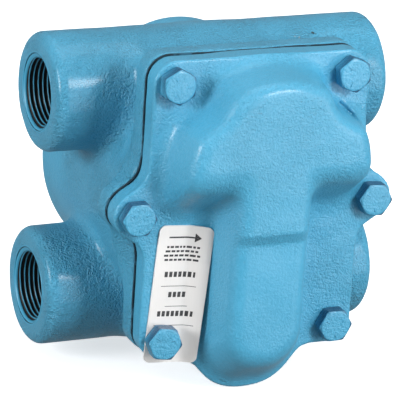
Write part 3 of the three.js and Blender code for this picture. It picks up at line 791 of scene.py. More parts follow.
@dataclass
class NodeSheet:
    """Short hand for writing a material's nodes.

    Attributes:
        name: of the material.
        material: the material.
        shader: its one shader.
        place: the piece's own coordinates.
    """

    name: str
    material: Material = field(init=False)
    shader: bpy.types.Node = field(init=False)
    place: Socket = field(init=False)

    def __post_init__(self) -> None:
        """Starts with one shader and the object's own coordinates."""
        self.material = bpy.data.materials.new(self.name)
        self.material.use_nodes = True
        tree = self.material.node_tree
        self.shader = tree.nodes["Principled BSDF"]
        self.place = self.node("ShaderNodeTexCoord").outputs["Object"]

    def node(self, kind: str, **values: object) -> bpy.types.Node:
        """Adds a node; values that name an input are linked or set, the others are its properties.

        Args:
            kind: type of the node.
            values: inputs to link or set.

        Returns:
            The node.
        """
        made = self.material.node_tree.nodes.new(kind)
        for name, value in values.items():
            label = name.replace("_", " ")
            socket = made.inputs.get(label) or made.inputs.get(label.title())
            if socket is None:
                setattr(made, name, value)
            elif isinstance(value, Socket):
                self.material.node_tree.links.new(value, socket)
            else:
                socket.default_value = value
        return made

    def noise(self, scale: float, detail: float = 4.0, roughness: float = 0.5) -> Socket:
        """Noise from 0 to 1 with features of about one over scale metres."""
        sizes = {"Scale": scale, "Detail": detail, "Roughness": roughness}
        return self.node("ShaderNodeTexNoise", Vector=self.place, **sizes).outputs["Fac"]

    def ramp(
        self, value: Socket, low: float, high: float, to_low: float = 0.0, to_high: float = 1.0
    ) -> Socket:
        """Maps a value from one range to another with soft ends.

        Args:
            value: the value to map.
            low: where its range starts.
            high: where its range ends.
            to_low: result at the start.
            to_high: result at the end.

        Returns:
            The node's result.
        """
        made = self.node("ShaderNodeMapRange", interpolation_type="SMOOTHSTEP", Value=value)
        for name, number in zip(RANGE_INPUTS, (low, high, to_low, to_high)):
            made.inputs[name].default_value = number
        return made.outputs["Result"]

    def mix(self, share: Socket, first: object, second: object) -> Socket:
        """Mixes two colours, each a colour or a socket.

        Args:
            share: how much of the second one shows.
            first: first colour.
            second: second colour.

        Returns:
            The node's result.
        """
        made = self.node("ShaderNodeMix", data_type="RGBA")
        links = self.material.node_tree.links
        links.new(share, made.inputs[0])
        for socket, value in ((made.inputs[6], first), (made.inputs[7], second)):
            if isinstance(value, Socket):
                links.new(value, socket)
            else:
                socket.default_value = value
        return made.outputs[2]

    def math(self, operation: str, *values: object) -> Socket:
        """One sum, product or other operation on sockets and numbers.

        Args:
            operation: its name.
            values: inputs to link or set.

        Returns:
            The node's result.
        """
        made = self.node("ShaderNodeMath", operation=operation)
        for socket, value in zip(made.inputs, values):
            if isinstance(value, Socket):
                self.material.node_tree.links.new(value, socket)
            else:
                socket.default_value = value
        return made.outputs[0]

    def bump(self, height: Socket, depth: float, below: Socket | None = None) -> Socket:
        """Bumps of a depth in metres, on top of another bump if one is given.

        Args:
            height: the height to show.
            depth: in metres.
            below: bumps that these lie on.

        Returns:
            The node's result.
        """
        made = self.node("ShaderNodeBump", Height=height, Distance=depth)
        made.inputs["Strength"].default_value = 1.0
        if below is not None:
            self.material.node_tree.links.new(below, made.inputs["Normal"])
        return made.outputs["Normal"]

    def feed(self, **sockets: Socket) -> None:
        """Links sockets to the shader's inputs of those names."""
        for name, socket in sockets.items():
            self.material.node_tree.links.new(socket, self.shader.inputs[name.replace("_", " ")])

    def fix(self, **values: object) -> None:
        """Sets values that are the same all over on the shader itself."""
        for name, value in values.items():
            self.shader.inputs[name.replace("_", " ")].default_value = value


# ---------------------------------------------------------------- finishes


@dataclass(frozen=True)
class Scuff:
    """Spot where the paint is damaged.

    Attributes:
        centre: in millimetres.
        radius: in millimetres.
        colour: what shows there, linear.
    """

    centre: tuple[float, float, float]
    radius: float
    colour: Colour


CREAM = (0.62, 0.58, 0.47)
PIT = (0.01, 0.04, 0.06)
SCUFFS = (Scuff((37.5, -16.6, 21.3), 2.3, CREAM), Scuff((37.0, -14.2, 22.9), 1.5, PIT),
          Scuff((47.2, -13.3, 23.5), 1.3, PIT))


@dataclass(frozen=True)
class CastEnamel:
    """Semi-gloss light blue enamel sprayed over sand-cast iron.

    Attributes:
        colour: the paint's own colour, linear.
        grain: depth of the sand grain that shows through, in metres.
        gloss: roughness of the paint film.
        smooth_from: depth along y, in metres, behind which the sand was finer.
        scuffs: damaged spots.
    """

    colour: Colour = (0.060, 0.355, 0.560)
    grain: float = 0.00060
    gloss: float = 0.37
    smooth_from: float = 0.012
    scuffs: tuple[Scuff, ...] = SCUFFS

    def spots(self, sheet: NodeSheet, base: Socket) -> Socket:
        """Paints the damaged spots, each with a ragged edge.

        Args:
            sheet: the material's nodes.
            base: colour of the sound paint.

        Returns:
            Colour with the spots.
        """
        ragged = sheet.math("MULTIPLY", sheet.noise(1100.0, 3.0, 0.6), 0.004)
        for scuff in self.scuffs:
            away = sheet.node("ShaderNodeVectorMath", operation="DISTANCE")
            sheet.material.node_tree.links.new(sheet.place, away.inputs[0])
            away.inputs[1].default_value = tuple(c * MM for c in scuff.centre)
            reach = sheet.math("ADD", away.outputs["Value"], ragged)
            edge = scuff.radius * MM + 0.002
            base = sheet.mix(sheet.ramp(reach, edge, edge - 0.0006), base, tinted(scuff.colour))
        return base

    def coarseness(self, sheet: NodeSheet) -> Socket:
        """Share of the grain: most on the tubes, less on the flanges, least on the bowl and the leg.

        Args:
            sheet: the material's nodes.

        Returns:
            Share of the grain at each place.
        """
        place = sheet.node("ShaderNodeSeparateXYZ", Vector=sheet.place).outputs
        tubes = sheet.ramp(place["Y"], -0.056, -0.048, 0.5, 1.15)
        bowl = sheet.ramp(place["Y"], self.smooth_from, self.smooth_from + 0.02, 0.0, 0.8)
        rim = sheet.ramp(place["Y"], -0.070, -0.063, 0.0, 0.1)
        leg = sheet.ramp(place["Z"], -0.045, -0.055)
        inner = sheet.ramp(sheet.math("ABSOLUTE", place["X"]), 0.024, 0.018, 0.0, 0.3)
        patchy = sheet.ramp(sheet.noise(45.0, 2.0), 0.35, 0.65, 0.75, 1.25)
        amount = sheet.math("SUBTRACT", sheet.math("ADD", tubes, rim), bowl)
        amount = sheet.math("SUBTRACT", amount, sheet.math("MULTIPLY", leg, inner))
        return sheet.math("MULTIPLY", sheet.math("MAXIMUM", amount, 0.15), patchy)

    def material(self, name: str) -> Material:
        """Builds the material.

        Args:
            name: of the material.

        Returns:
            The material.
        """
        sheet = NodeSheet(name)
        broad = sheet.ramp(sheet.noise(28.0, 3.0), 0.3, 0.7)
        fine = sheet.noise(850.0, 3.0, 0.6)
        mottle = sheet.ramp(fine, 0.35, 0.68)
        base = sheet.mix(broad, tinted(self.colour, 0.95), tinted(self.colour, 1.04))
        base = sheet.mix(sheet.math("MULTIPLY", mottle, 0.45), base, tinted(self.colour, 1.12, 0.03))
        pits = sheet.ramp(sheet.noise(1000.0, 2.0, 0.5), 0.66, 0.76)
        base = sheet.mix(sheet.math("MULTIPLY", pits, 0.5), base, tinted(self.colour, 0.72))
        amount = self.coarseness(sheet)
        sand = sheet.math("MULTIPLY", sheet.math("SUBTRACT", sheet.noise(1050.0, 2.0, 0.6), 0.5), amount)
        lumps = sheet.math("MULTIPLY", sheet.noise(420.0, 2.0, 0.5), sheet.math("MULTIPLY", amount, 0.6))
        normal = sheet.bump(sheet.math("ADD", sand, lumps), self.grain * 2.2)
        normal = sheet.bump(pits, -self.grain * 0.3, normal)
        rough = sheet.math("ADD", sheet.math("MULTIPLY", mottle, 0.10), self.gloss)
        # Painted shade: where a turned piece carries the groove attribute, the enamel is darkened towards a
        # deep blue. On the bolt heads this paints the shade of their side faces and washer faces; on the
        # bolts' threads it darkens the roots.
        thin = sheet.node("ShaderNodeAttribute", attribute_name="groove").outputs["Fac"]
        painted_shade_colour = tuple(c * share for c, share in zip(self.colour, (0.1, 0.22, 0.3)))
        base = sheet.mix(thin, base, tinted(painted_shade_colour))
        sheet.feed(Base_Color=self.spots(sheet, base), Normal=normal, Roughness=rough)
        sheet.fix(Specular_IOR_Level=0.5, Coat_Weight=0.3, Coat_Roughness=0.2)
        return sheet.material


@dataclass(frozen=True)
class PlainMetal:
    """Metal with fine working marks.

    Attributes:
        colour: linear colour.
        roughness: middle roughness.
        marks: depth of the marks, in metres.
        scale: marks per metre.
    """

    colour: Colour
    roughness: float = 0.3
    marks: float = 0.000012
    scale: float = 1500.0

    def material(self, name: str) -> Material:
        """Builds the material.

        Args:
            name: of the material.

        Returns:
            The material.
        """
        sheet = NodeSheet(name)
        fine = sheet.noise(self.scale, 4.0)
        broad = sheet.noise(60.0, 3.0)
        colour = sheet.mix(broad, tinted(self.colour, 0.82), tinted(self.colour, 1.08))
        rough = sheet.math("ADD", sheet.math("MULTIPLY", broad, 0.18), self.roughness - 0.09)
        sheet.feed(Base_Color=colour, Roughness=rough, Normal=sheet.bump(fine, self.marks))
        sheet.fix(Metallic=1.0)
        return sheet.material


@dataclass(frozen=True)
class PaintedThread:
    """Cut thread whose crests caught the enamel while its grooves stayed dark."""

    paint: CastEnamel = field(default_factory=CastEnamel)
    iron: Colour = (0.004, 0.006, 0.008)
    reach: float = 0.066

    def material(self, name: str) -> Material:
        """Builds the material; paint thins out further in than the reach.

        Args:
            name: of the material.

        Returns:
            The material.
        """
        sheet = NodeSheet(name)
        groove = sheet.node("ShaderNodeAttribute", attribute_name="groove").outputs["Fac"]
        along = sheet.node("ShaderNodeSeparateXYZ", Vector=sheet.place).outputs["X"]
        patchy = sheet.math("MULTIPLY", sheet.noise(320.0, 3.0), 0.3)
        bare = sheet.ramp(sheet.math("ADD", groove, patchy), 0.32, 0.62)
        deep = sheet.ramp(sheet.math("ABSOLUTE", along), self.reach + 0.006, self.reach - 0.006)
        dark = sheet.math("MAXIMUM", bare, sheet.math("MULTIPLY", deep, 0.8))
        sheet.feed(Base_Color=sheet.mix(dark, tinted(self.paint.colour), tinted(self.iron)),
                   Roughness=sheet.math("ADD", sheet.math("MULTIPLY", dark, 0.2), self.paint.gloss))
        return sheet.material


@dataclass(frozen=True)
class BareIron:
    """Unpainted cast iron inside the castings."""

    colour: Colour = (0.035, 0.032, 0.030)
    rust: Colour = (0.07, 0.035, 0.02)

    def material(self, name: str) -> Material:
        """Builds the material.

        Args:
            name: of the material.

        Returns:
            The material.
        """
        sheet = NodeSheet(name)
        rust = sheet.ramp(sheet.noise(140.0, 4.0), 0.55, 0.7)
        colour = sheet.mix(rust, tinted(self.colour), tinted(self.rust))
        sheet.feed(Base_Color=colour, Normal=sheet.bump(sheet.noise(700.0, 3.0), 0.0002))
        sheet.fix(Roughness=0.7, Metallic=0.4)
        return sheet.material


@dataclass(frozen=True)
class PlateMetal:
    """Satin aluminium with a white baked ground, brushed along its height."""

    colour: Colour = (0.84, 0.82, 0.80)
    stain: Colour = (0.55, 0.56, 0.57)

    def material(self, name: str) -> Material:
        """Builds the material.

        Args:
            name: of the material.

        Returns:
            The material.
        """
        sheet = NodeSheet(name)
        stretched = sheet.node("ShaderNodeMapping", Vector=sheet.place)
        stretched.inputs["Scale"].default_value = (2500.0, 2500.0, 60.0)
        streaks = sheet.node("ShaderNodeTexNoise", Vector=stretched.outputs[0], Scale=1.0, Detail=3.0)
        brushed = streaks.outputs["Fac"]
        stained = sheet.ramp(sheet.noise(90.0, 4.0), 0.55, 0.8)
        colour = sheet.mix(brushed, tinted(self.colour, 0.93), tinted(self.colour))
        colour = sheet.mix(sheet.math("MULTIPLY", stained, 0.2), colour, tinted(self.stain))
        rough = sheet.math("ADD", sheet.math("MULTIPLY", brushed, 0.15), 0.3)
        sheet.feed(Base_Color=colour, Roughness=rough, Normal=sheet.bump(brushed, 0.00001))
        sheet.fix(Metallic=0.15)
        return sheet.material


@dataclass(frozen=True)
class Ink:
    """Dark grey printing ink."""

    colour: Colour = (0.035, 0.035, 0.037)
    worn: Colour = (0.25, 0.25, 0.26)

    def material(self, name: str) -> Material:
        """Builds the material.

        Args:
            name: of the material.

        Returns:
            The material.
        """
        sheet = NodeSheet(name)
        worn = sheet.ramp(sheet.noise(1500.0, 3.0), 0.6, 0.75)
        sheet.feed(Base_Color=sheet.mix(worn, tinted(self.colour), tinted(self.worn)))
        sheet.fix(Roughness=0.5)
        return sheet.material


@dataclass(frozen=True)
class GasketSheet:
    """Compressed fibre sheet whose cut edge has caught some paint."""

    fibre: Colour = (0.006, 0.030, 0.048)
    overspray: Colour = (0.03, 0.13, 0.20)

    def material(self, name: str) -> Material:
        """Builds the material.

        Args:
            name: of the material.

        Returns:
            The material.
        """
        sheet = NodeSheet(name)
        caught = sheet.ramp(sheet.noise(130.0, 4.0), 0.52, 0.62)
        sheet.feed(Base_Color=sheet.mix(caught, tinted(self.fibre), tinted(self.overspray)),
                   Normal=sheet.bump(sheet.noise(1800.0, 3.0), 0.00006))
        sheet.fix(Roughness=0.85)
        return sheet.material


# ---------------------------------------------------------------- castings


@dataclass
class Joint:
    """The bolted joint that both castings share.

    Attributes:
        half_width: of the flange, without its ears.
        top: of the flange, above the inlet axis.
        bottom: of the flange, without its lobe.
        corner: radius of the four corners.
        edge: rounding of the flanges' rims.
        ear_radius: of the lugs round the two middle bolts.
        ear: (x, z) of the right one of those bolts.
        top_bolt: (x, z) of the top right bolt.
        bottom_bolt: (x, z) of the bottom right bolt.
        lobe_z: middle of the lobe below the leg.
        lobe_radius: of that lobe.
        face: where the body's flange meets the gasket, along y.
    """

    half_width: float = 52.0
    top: float = 31.0
    bottom: float = -108.0
    corner: float = 11.0
    edge: float = 1.6
    ear_radius: float = 10.0
    ear: tuple[float, float] = (57.3, -39.0)
    top_bolt: tuple[float, float] = (42.0, 20.5)
    bottom_bolt: tuple[float, float] = (42.0, -98.0)
    lobe_z: float = -98.5
    lobe_radius: float = 26.5
    face: float = -52.0

    def outline(self, points: Array) -> Array:
        """Field of the outline in x and z, with flowing ears and lobe.

        Args:
            points: places to measure, one row each.

        Returns:
            Signed distance, negative inside.
        """
        x, z = np.abs(points[:, 0]), points[:, 2]
        plate = flat_block(x, z, (-self.half_width, self.half_width, self.bottom, self.top), self.corner)
        ear = np.hypot(x - self.ear[0], z - self.ear[1]) - self.ear_radius
        lobe = np.hypot(x, z - self.lobe_z) - self.lobe_radius
        return smooth_union(smooth_union(plate, ear, 15.0), lobe, 9.0)

    def bolt_holes(self, points: Array, radius: float) -> Array:
        """Field of the six bolt holes, endless along y.

        Args:
            points: places to measure, one row each.
            radius: of each hole.

        Returns:
            Signed distance, negative inside.
        """
        x, z = np.abs(points[:, 0]), points[:, 2]
        places = (self.top_bolt, self.ear, self.bottom_bolt)
        return np.minimum.reduce([np.hypot(x - at_x, z - at_z) for at_x, at_z in places]) - radius

    def flange(self, points: Array, y0: float, y1: float) -> Array:
        """Field of a flange between two depths."""
        depth = np.abs(points[:, 1] - (y0 + y1) / 2) - (y1 - y0) / 2
        return smooth_common(self.outline(points), depth, self.edge)


@dataclass
class BodyCasting:
    """Iron casting with both port runs, the float bowl and the rear flange.

    Attributes:
        joint: the bolted joint.
        half_length: from the middle to a port's face.
        spacing: between the two runs.
        tube: radius of a run, and tube_edge the rounding of its ends.
        bore: radius of the passage in a run.
        socket: radius of a port's threaded socket, and socket_depth its depth.
        flange_thickness: of the rear flange.
        wall: thickness of the bowl.
        mouth: radius of the chamber's mouth, and mouth_z its middle.
        bowl: radius of the bowl, bowl_back its back and bowl_edge the rounding there.
        roof: radius of the raised part over the float, with roof_back, roof_z and roof_edge.
        fillet: where the runs and the flange meet the bowl; neck_fillet and roof_fillet elsewhere.
        cell: size of the quads before thinning.
        triangles: count that is left after it.
    """

    joint: Joint
    half_length: float = 81.0
    spacing: float = 92.0
    tube: float = 27.0
    tube_edge: float = 4.5
    bore: float = 14.8
    socket: float = 17.3
    socket_depth: float = 20.0
    flange_thickness: float = 10.0
    wall: float = 6.5
    mouth: float = 38.0
    mouth_z: float = -24.0
    bowl: float = 57.5
    bowl_back: float = 58.0
    bowl_edge: float = 12.0
    roof: float = 44.5
    roof_back: float = 41.0
    roof_z: float = -24.5
    roof_edge: float = 7.0
    fillet: float = 9.0
    neck_fillet: float = 8.0
    roof_fillet: float = 6.0
    cell: float = 1.15
    triangles: int = 170000

    def run(self, points: Array, z: float) -> Array:
        """Field of one port run, solid."""
        length = self.half_length
        return cylinder(points, Axis.X, (0.0, z), self.tube, -length, length, self.tube_edge)

    def outside(self, points: Array) -> Array:
        """Field of the casting without its hollows.

        Args:
            points: places to measure, one row each.

        Returns:
            Signed distance, negative inside.
        """
        face = self.joint.face
        back = face + self.flange_thickness
        middle, start = (0.0, -self.spacing / 2), face + 3
        bowl = cylinder(points, Axis.Y, middle, self.bowl, start, self.bowl_back, self.bowl_edge)
        above = (0.0, self.roof_z)
        roof = cylinder(points, Axis.Y, above, self.roof, start, self.roof_back, self.roof_edge)
        runs = np.minimum(self.run(points, 0.0), self.run(points, -self.spacing))
        neck_high = block(points, (-43, face + 2, -24), (43, 0, 21), 6.0)
        neck_low = block(points, (-38, face + 2, -self.spacing - 22), (38, 0, -60), 6.0)
        shell = smooth_union(bowl, roof, self.roof_fillet)
        shell = smooth_union(shell, neck_high, self.neck_fillet)
        shell = smooth_union(shell, neck_low, self.neck_fillet)
        shell = smooth_union(shell, runs, self.fillet)
        return smooth_union(shell, self.joint.flange(points, face, back), self.fillet)

    def hollows(self, points: Array) -> Array:
        """Field of the chamber, the bores and the outlet passage.

        Args:
            points: places to measure, one row each.

        Returns:
            Signed distance, negative inside.
        """
        face = self.joint.face
        mouth_back, room_back = self.roof_back - self.wall, self.bowl_back - self.wall
        mouth = cylinder(points, Axis.Y, (0.0, self.mouth_z), self.mouth, face - 5, mouth_back, 3.0)
        inner, middle = self.bowl - self.wall, (0.0, -self.spacing / 2)
        room = cylinder(points, Axis.Y, middle, inner, face + 14, room_back, 6.0)
        room = smooth_union(mouth, room, 6.0)
        run_wall = np.hypot(points[:, 1], points[:, 2] + self.spacing) - (self.bore + self.wall)
        passage_wall = flat_block(points[:, 0], points[:, 2], (-19.5, 19.5, -116.5, -67.5), 10.0)
        passage_wall = np.maximum(passage_wall, points[:, 1])
        result = smooth_cut(room, smooth_union(run_wall, passage_wall, 6.0), 4.0)
        x_fold = np.column_stack([np.abs(points[:, 0]), points[:, 1], points[:, 2]])
        length = self.half_length
        for z in (0.0, -self.spacing):
            through = cylinder(points, Axis.X, (0.0, z), self.bore, -length - 5, length + 5)
            end = (self.socket, length - self.socket_depth, length + 9)
            socket = cylinder(x_fold, Axis.X, (0.0, z), *end)
            result = np.minimum(result, np.minimum(through, socket))
        box = (-13, 13, -self.spacing - 18, -self.spacing + 18)
        window = flat_block(points[:, 0], points[:, 2], box, 8.0)
        passage = np.maximum(window, np.abs(points[:, 1] - (face - 5) / 2 + 4) - (5 - face) / 2)
        return np.minimum(result, passage)

    def field(self, points: Array) -> Array:
        """Field of the finished casting: machined flat at the joint, drilled for the bolts.

        Args:
            points: places to measure, one row each.

        Returns:
            Signed distance, negative inside.
        """
        rough = self.outside(points) + cast_waviness(points, 0.22)
        cut = smooth_common(rough, self.joint.face - points[:, 1], 1.2)
        back = self.joint.face + self.flange_thickness
        taps = np.maximum(self.joint.bolt_holes(points, 5.0), points[:, 1] - (back + 1.0))
        return smooth_cut(np.maximum(cut, -taps), self.hollows(points), 0.8)

    def build(self, paint: Material, bare: Material) -> None:
        """Makes the piece that stands for the casting, painted outside and bare inside.

        Args:
            paint: finish of the outside.
            bare: finish of the hollows.
        """
        net = SurfaceNet((-82, -53, -126), (82, 59, 32), self.cell)
        made = new_object("body_iron", *net.mesh(self.field))
        thin_out(made, self.triangles)
        settle(made, Body.HOUSING, paint, ["body_casting"])
        dress_inside(made, bare, self.hollows)


@dataclass
class CoverCasting:
    """Iron cover with its float dome and the leg over the outlet passage.

    Attributes:
        joint: the bolted joint.
        back: the cover's machined face along y, front its flange's and dome_front the dome's.
        dome_z: middle of the dome, and room_z of the float's room in it.
        right_bulge: how much wider the dome is on the right.
        base_radius: of the dome at the flange, and face_radius at its face.
        chin_face: where the dome's sloping underside starts at its face, and chin_base at the flange.
        relief_base: radius of a wrench relief at the flange, and relief_face at the face.
        leg_base: half width of the leg at the flange, and leg_face at its face.
        leg_base_bottom: lowest place of the leg at the flange, and leg_face_bottom at its face.
        leg_corner: radius of its lower corners.
        face_edge: rounding between the sides and the face.
        fillet: where the leg meets the dome, and flange_fillet where both meet the flange.
        set_back: of the lower panel, step_z the middle of its step and step_run the step's height.
        crease_start: one end of the crease in x and z, crease_end the other.
        crease_depth: of the crease, and crease_width half its width.
        cell: size of the quads before thinning.
        triangles: count that is left after it.
    """

    joint: Joint
    back: float = -53.0
    front: float = -63.0
    dome_front: float = -87.5
    dome_z: float = -17.0
    room_z: float = -20.0
    right_bulge: float = 1.09
    base_radius: float = 46.0
    face_radius: float = 41.0
    chin_face: float = -20.5
    chin_base: float = -39.5
    relief_base: float = 15.0
    relief_face: float = 18.5
    leg_base: float = 22.5
    leg_face: float = 16.5
    leg_base_bottom: float = -121.5
    leg_face_bottom: float = -104.0
    leg_corner: float = 17.0
    face_edge: float = 6.0
    fillet: float = 7.0
    flange_fillet: float = 6.5
    set_back: float = 2.5
    step_z: float = -46.5
    step_run: float = 5.2
    crease_start: tuple[float, float] = (37.6, 6.4)
    crease_end: tuple[float, float] = (42.4, 1.6)
    crease_depth: float = 2.0
    crease_width: float = 1.7
    cell: float = 0.9
    triangles: int = 180000

    def depth_share(self, y: Array) -> Array:
        """How far a depth lies from the flange, 0, to the dome's face, 1."""
        return (y - self.front) / (self.dome_front - self.front)

    def dome(self, points: Array) -> Array:
        """Field of the dome's sides, with its wrench reliefs and sloping chin.

        Args:
            points: places to measure, one row each.

        Returns:
            Signed distance, negative inside.
        """
        x, y, z = np.abs(points[:, 0]), points[:, 1], points[:, 2]
        share = self.depth_share(y)
        radius = self.base_radius + (self.face_radius - self.base_radius) * share
        side = np.where(points[:, 0] > 0, x / self.right_bulge, x)
        wall = np.hypot(side, z - self.dome_z) - radius
        chin = self.chin_face + (self.chin_base - self.chin_face) * (1 - share)
        slope = (self.chin_base - self.chin_face) / (self.front - self.dome_front)
        shape = smooth_common(wall, (chin - z) / math.hypot(1, slope), self.fillet)
        relief = self.relief_base + (self.relief_face - self.relief_base) * share
        bolt_x, bolt_z = self.joint.top_bolt
        return smooth_cut(shape, np.hypot(x - bolt_x, z - bolt_z) - relief, 4.5)

    def crease(self, points: Array) -> Array:
        """Depth of a short crease where the sand broke beside the top right relief.

        Args:
            points: places to measure, one row each.

        Returns:
            What it takes off the surface, 0 away from it.
        """
        start, end = np.array(self.crease_start), np.array(self.crease_end)
        flat, along = points[:, ::2] - start, end - start
        share = np.clip(flat @ along / (along @ along), 0.0, 1.0)
        away = np.linalg.norm(flat - share[:, None] * along, axis=1)
        depth = self.crease_depth * np.clip(1.0 - away / self.crease_width, 0.0, 1.0)
        return depth * (points[:, 1] < self.front + 0.5)

    def leg(self, points: Array) -> Array:
        """Field of the leg's drafted sides and round lower end.

        Args:
            points: places to measure, one row each.

        Returns:
            Signed distance, negative inside.
        """
        x, y, z = np.abs(points[:, 0]), points[:, 1], points[:, 2]
        share = self.depth_share(y)
        half = self.leg_base + (self.leg_face - self.leg_base) * share
        bottom = self.leg_base_bottom + (self.leg_face_bottom - self.leg_base_bottom) * share
        sides, corner = x - half, self.leg_corner
        across, down = np.maximum(x - (half - corner), 0), np.minimum(z - (bottom + corner), 0)
        outline = np.maximum(sides, np.where(z < bottom + corner, np.hypot(across, down) - corner, sides))
        return smooth_common(outline, z - self.room_z - 10.0, 3.0)

    def face(self, points: Array) -> Array:
        """Field of all that lies behind the front face, whose lower panel is set back."""
        step = np.clip((self.step_z + self.step_run / 2 - points[:, 2]) / self.step_run, 0.0, 1.0)
        return self.dome_front + self.set_back * step - points[:, 1]

    def outside(self, points: Array) -> Array:
        """Field of the cover without its hollows.

        Args:
            points: places to measure, one row each.

        Returns:
            Signed distance, negative inside.
        """
        sides = smooth_union(self.dome(points), self.leg(points), self.fillet)
        raised = smooth_common(sides, self.face(points), self.face_edge)
        raised = smooth_common(raised, points[:, 1] - (self.back - 2), 0.5)
        whole = smooth_union(self.joint.flange(points, self.front, self.back), raised, self.flange_fillet)
        lean = np.clip(self.front + 2.0 - points[:, 1], 0.0, 12.0)
        whole = smooth_common(whole, self.joint.outline(points) - lean, self.joint.edge)
        return whole + self.crease(points)

    def hollows(self, points: Array) -> Array:
        """Field of the float room and the outlet duct inside the cover.

        Args:
            points: places to measure, one row each.

        Returns:
            Signed distance, negative inside.
        """
        share = self.depth_share(points[:, 1])
        room = np.hypot(points[:, 0], points[:, 2] - self.room_z) - (39.5 - 4.5 * share)
        room = np.maximum(room, self.dome_front + 6.5 - points[:, 1])
        chin = self.chin_face + 8.2 + (self.chin_base - self.chin_face) * (1 - share)
        room = np.maximum(room, (chin - points[:, 2]) * 0.79)
        housing = block(points, (-12, -90, -40), (12, -66, 6))
        pad = block(points, (-21, -90, -10), (21, -66, 6))
        room = np.maximum(room, -np.minimum(housing, pad))
        duct = block(points, (-11, -79, -104), (11, -60, -40))
        window = flat_block(points[:, 0], points[:, 2], (-13, 13, -110, -74), 8.0)
        window = np.maximum(window, np.abs(points[:, 1] + 56) - 8)
        vent = block(points, (-6, -79, -50), (6, -71, 3))
        return np.minimum(np.minimum(room, duct), np.minimum(window, vent))

    def field(self, points: Array) -> Array:
        """Field of the finished cover.

        Args:
            points: places to measure, one row each.

        Returns:
            Signed distance, negative inside.
        """
        rough = self.outside(points) + cast_waviness(points + 60.0, 0.2)
        machined = smooth_common(rough, points[:, 1] - self.back, 1.0)
        machined = np.maximum(machined, -self.joint.bolt_holes(points, 5.2))
        return smooth_cut(machined, self.hollows(points), 0.8)

    def build(self, paint: Material, bare: Material) -> None:
        """Makes the piece that stands for the cover, painted outside and bare inside.

        Args:
            paint: finish of the outside.
            bare: finish of the hollows.
        """
        net = SurfaceNet((-69, -89, -126), (69, -52, 32), self.cell)
        made = new_object("cover_iron", *net.mesh(self.field))
        thin_out(made, self.triangles)
        settle(made, Body.HOUSING, paint, ["cover_casting"])
        dress_inside(made, bare, self.hollows)


# ---------------------------------------------------------------- ports, bolts, gasket, nameplate


def node_box(name: str) -> tuple[Array, Array]:
    """Lowest and highest corner of a frame node, in millimetres."""
    low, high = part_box(name)
    return np.array(low) / MM, np.array(high) / MM


def on_axis(name: str, axis: Axis = Axis.Y, turn: tuple[float, float, float] = (0.0, 0.0, 0.0)) -> Place:
    """Place at the low end of a node's axis, where its turned piece starts.

    Args:
        name: of the node.
        axis: that the piece lies along.
        turn: its turns, in degrees.

    Returns:
        The place.
    """
    low, high = node_box(name)
    start = (low + high) / 2
    start[axis.value] = low[axis.value]
    return Place(*start, turn)


@dataclass
class PortThreads:
    """Tapered pipe threads in the four ports.

    Attributes:
        mouth: radius at the outer edge of the countersink.
        crest: radius of the crests at the mouth.
        pitch: of 11.5 threads to the inch.
        sink: how far the sleeve's mouth lies behind the casting's end; a little proud if negative.
    """

    casting: BodyCasting
    mouth: float = 17.5
    crest: float = 15.25
    groove: float = 1.5
    pitch: float = 2.209
    length: float = 20.0
    sink: float = -0.12
    wall: float = 0.95

    def rings(self) -> list[Ring]:
        """Half outline from the inner end to the mouth and back along the outside.

        Returns:
            Rings for the turned tree.
        """
        taper = 1 / 32
        outer = self.mouth + self.wall
        inner = self.crest - self.length * taper
        thread = thread_rings(inner, 0.5, self.length - 1.6, self.pitch, self.groove, -taper)
        sink = [(self.crest + 0.9, self.length - 1.3, 0.0), (self.mouth - 0.5, self.length - 0.45, 0.0),
                (self.mouth - 0.45, self.length - 0.4, 0.9), (self.mouth - 0.15, self.length - 0.1, 0.9),
                (self.mouth, self.length, 0.0)]
        return [(outer, 0.0, 0.0), (inner + 0.4, 0.0, 0.0), *thread, *sink, (outer - 0.25, self.length, 0.0),
                (outer, self.length - 0.2, 0.0), (outer, 0.0, 0.0)]

    def build(self, lathe: Lathe, finish: Material) -> None:
        """Makes the four sleeves as one piece.

        Args:
            lathe: what turns its pieces.
            finish: its material.
        """
        start = self.casting.half_length - self.sink - self.length
        places = [Place(side * start, 0.0, z, (0.0, 0.0, -90.0 * side))
                  for z in (0.0, -self.casting.spacing) for side in (-1, 1)]
        made = lathe.make("port_threads", self.rings(), places, finish, 96, pitch=self.pitch)
        hand_over(made, Body.HOUSING)


class BoltTurn(Enum):
    """How far each cover bolt's hexagon happened to stop, in degrees."""

    top_left = 30.0
    top_right = 22.0
    mid_left = 0.0
    mid_right = 4.0
    bottom_left = 8.0
    bottom_right = -1.0


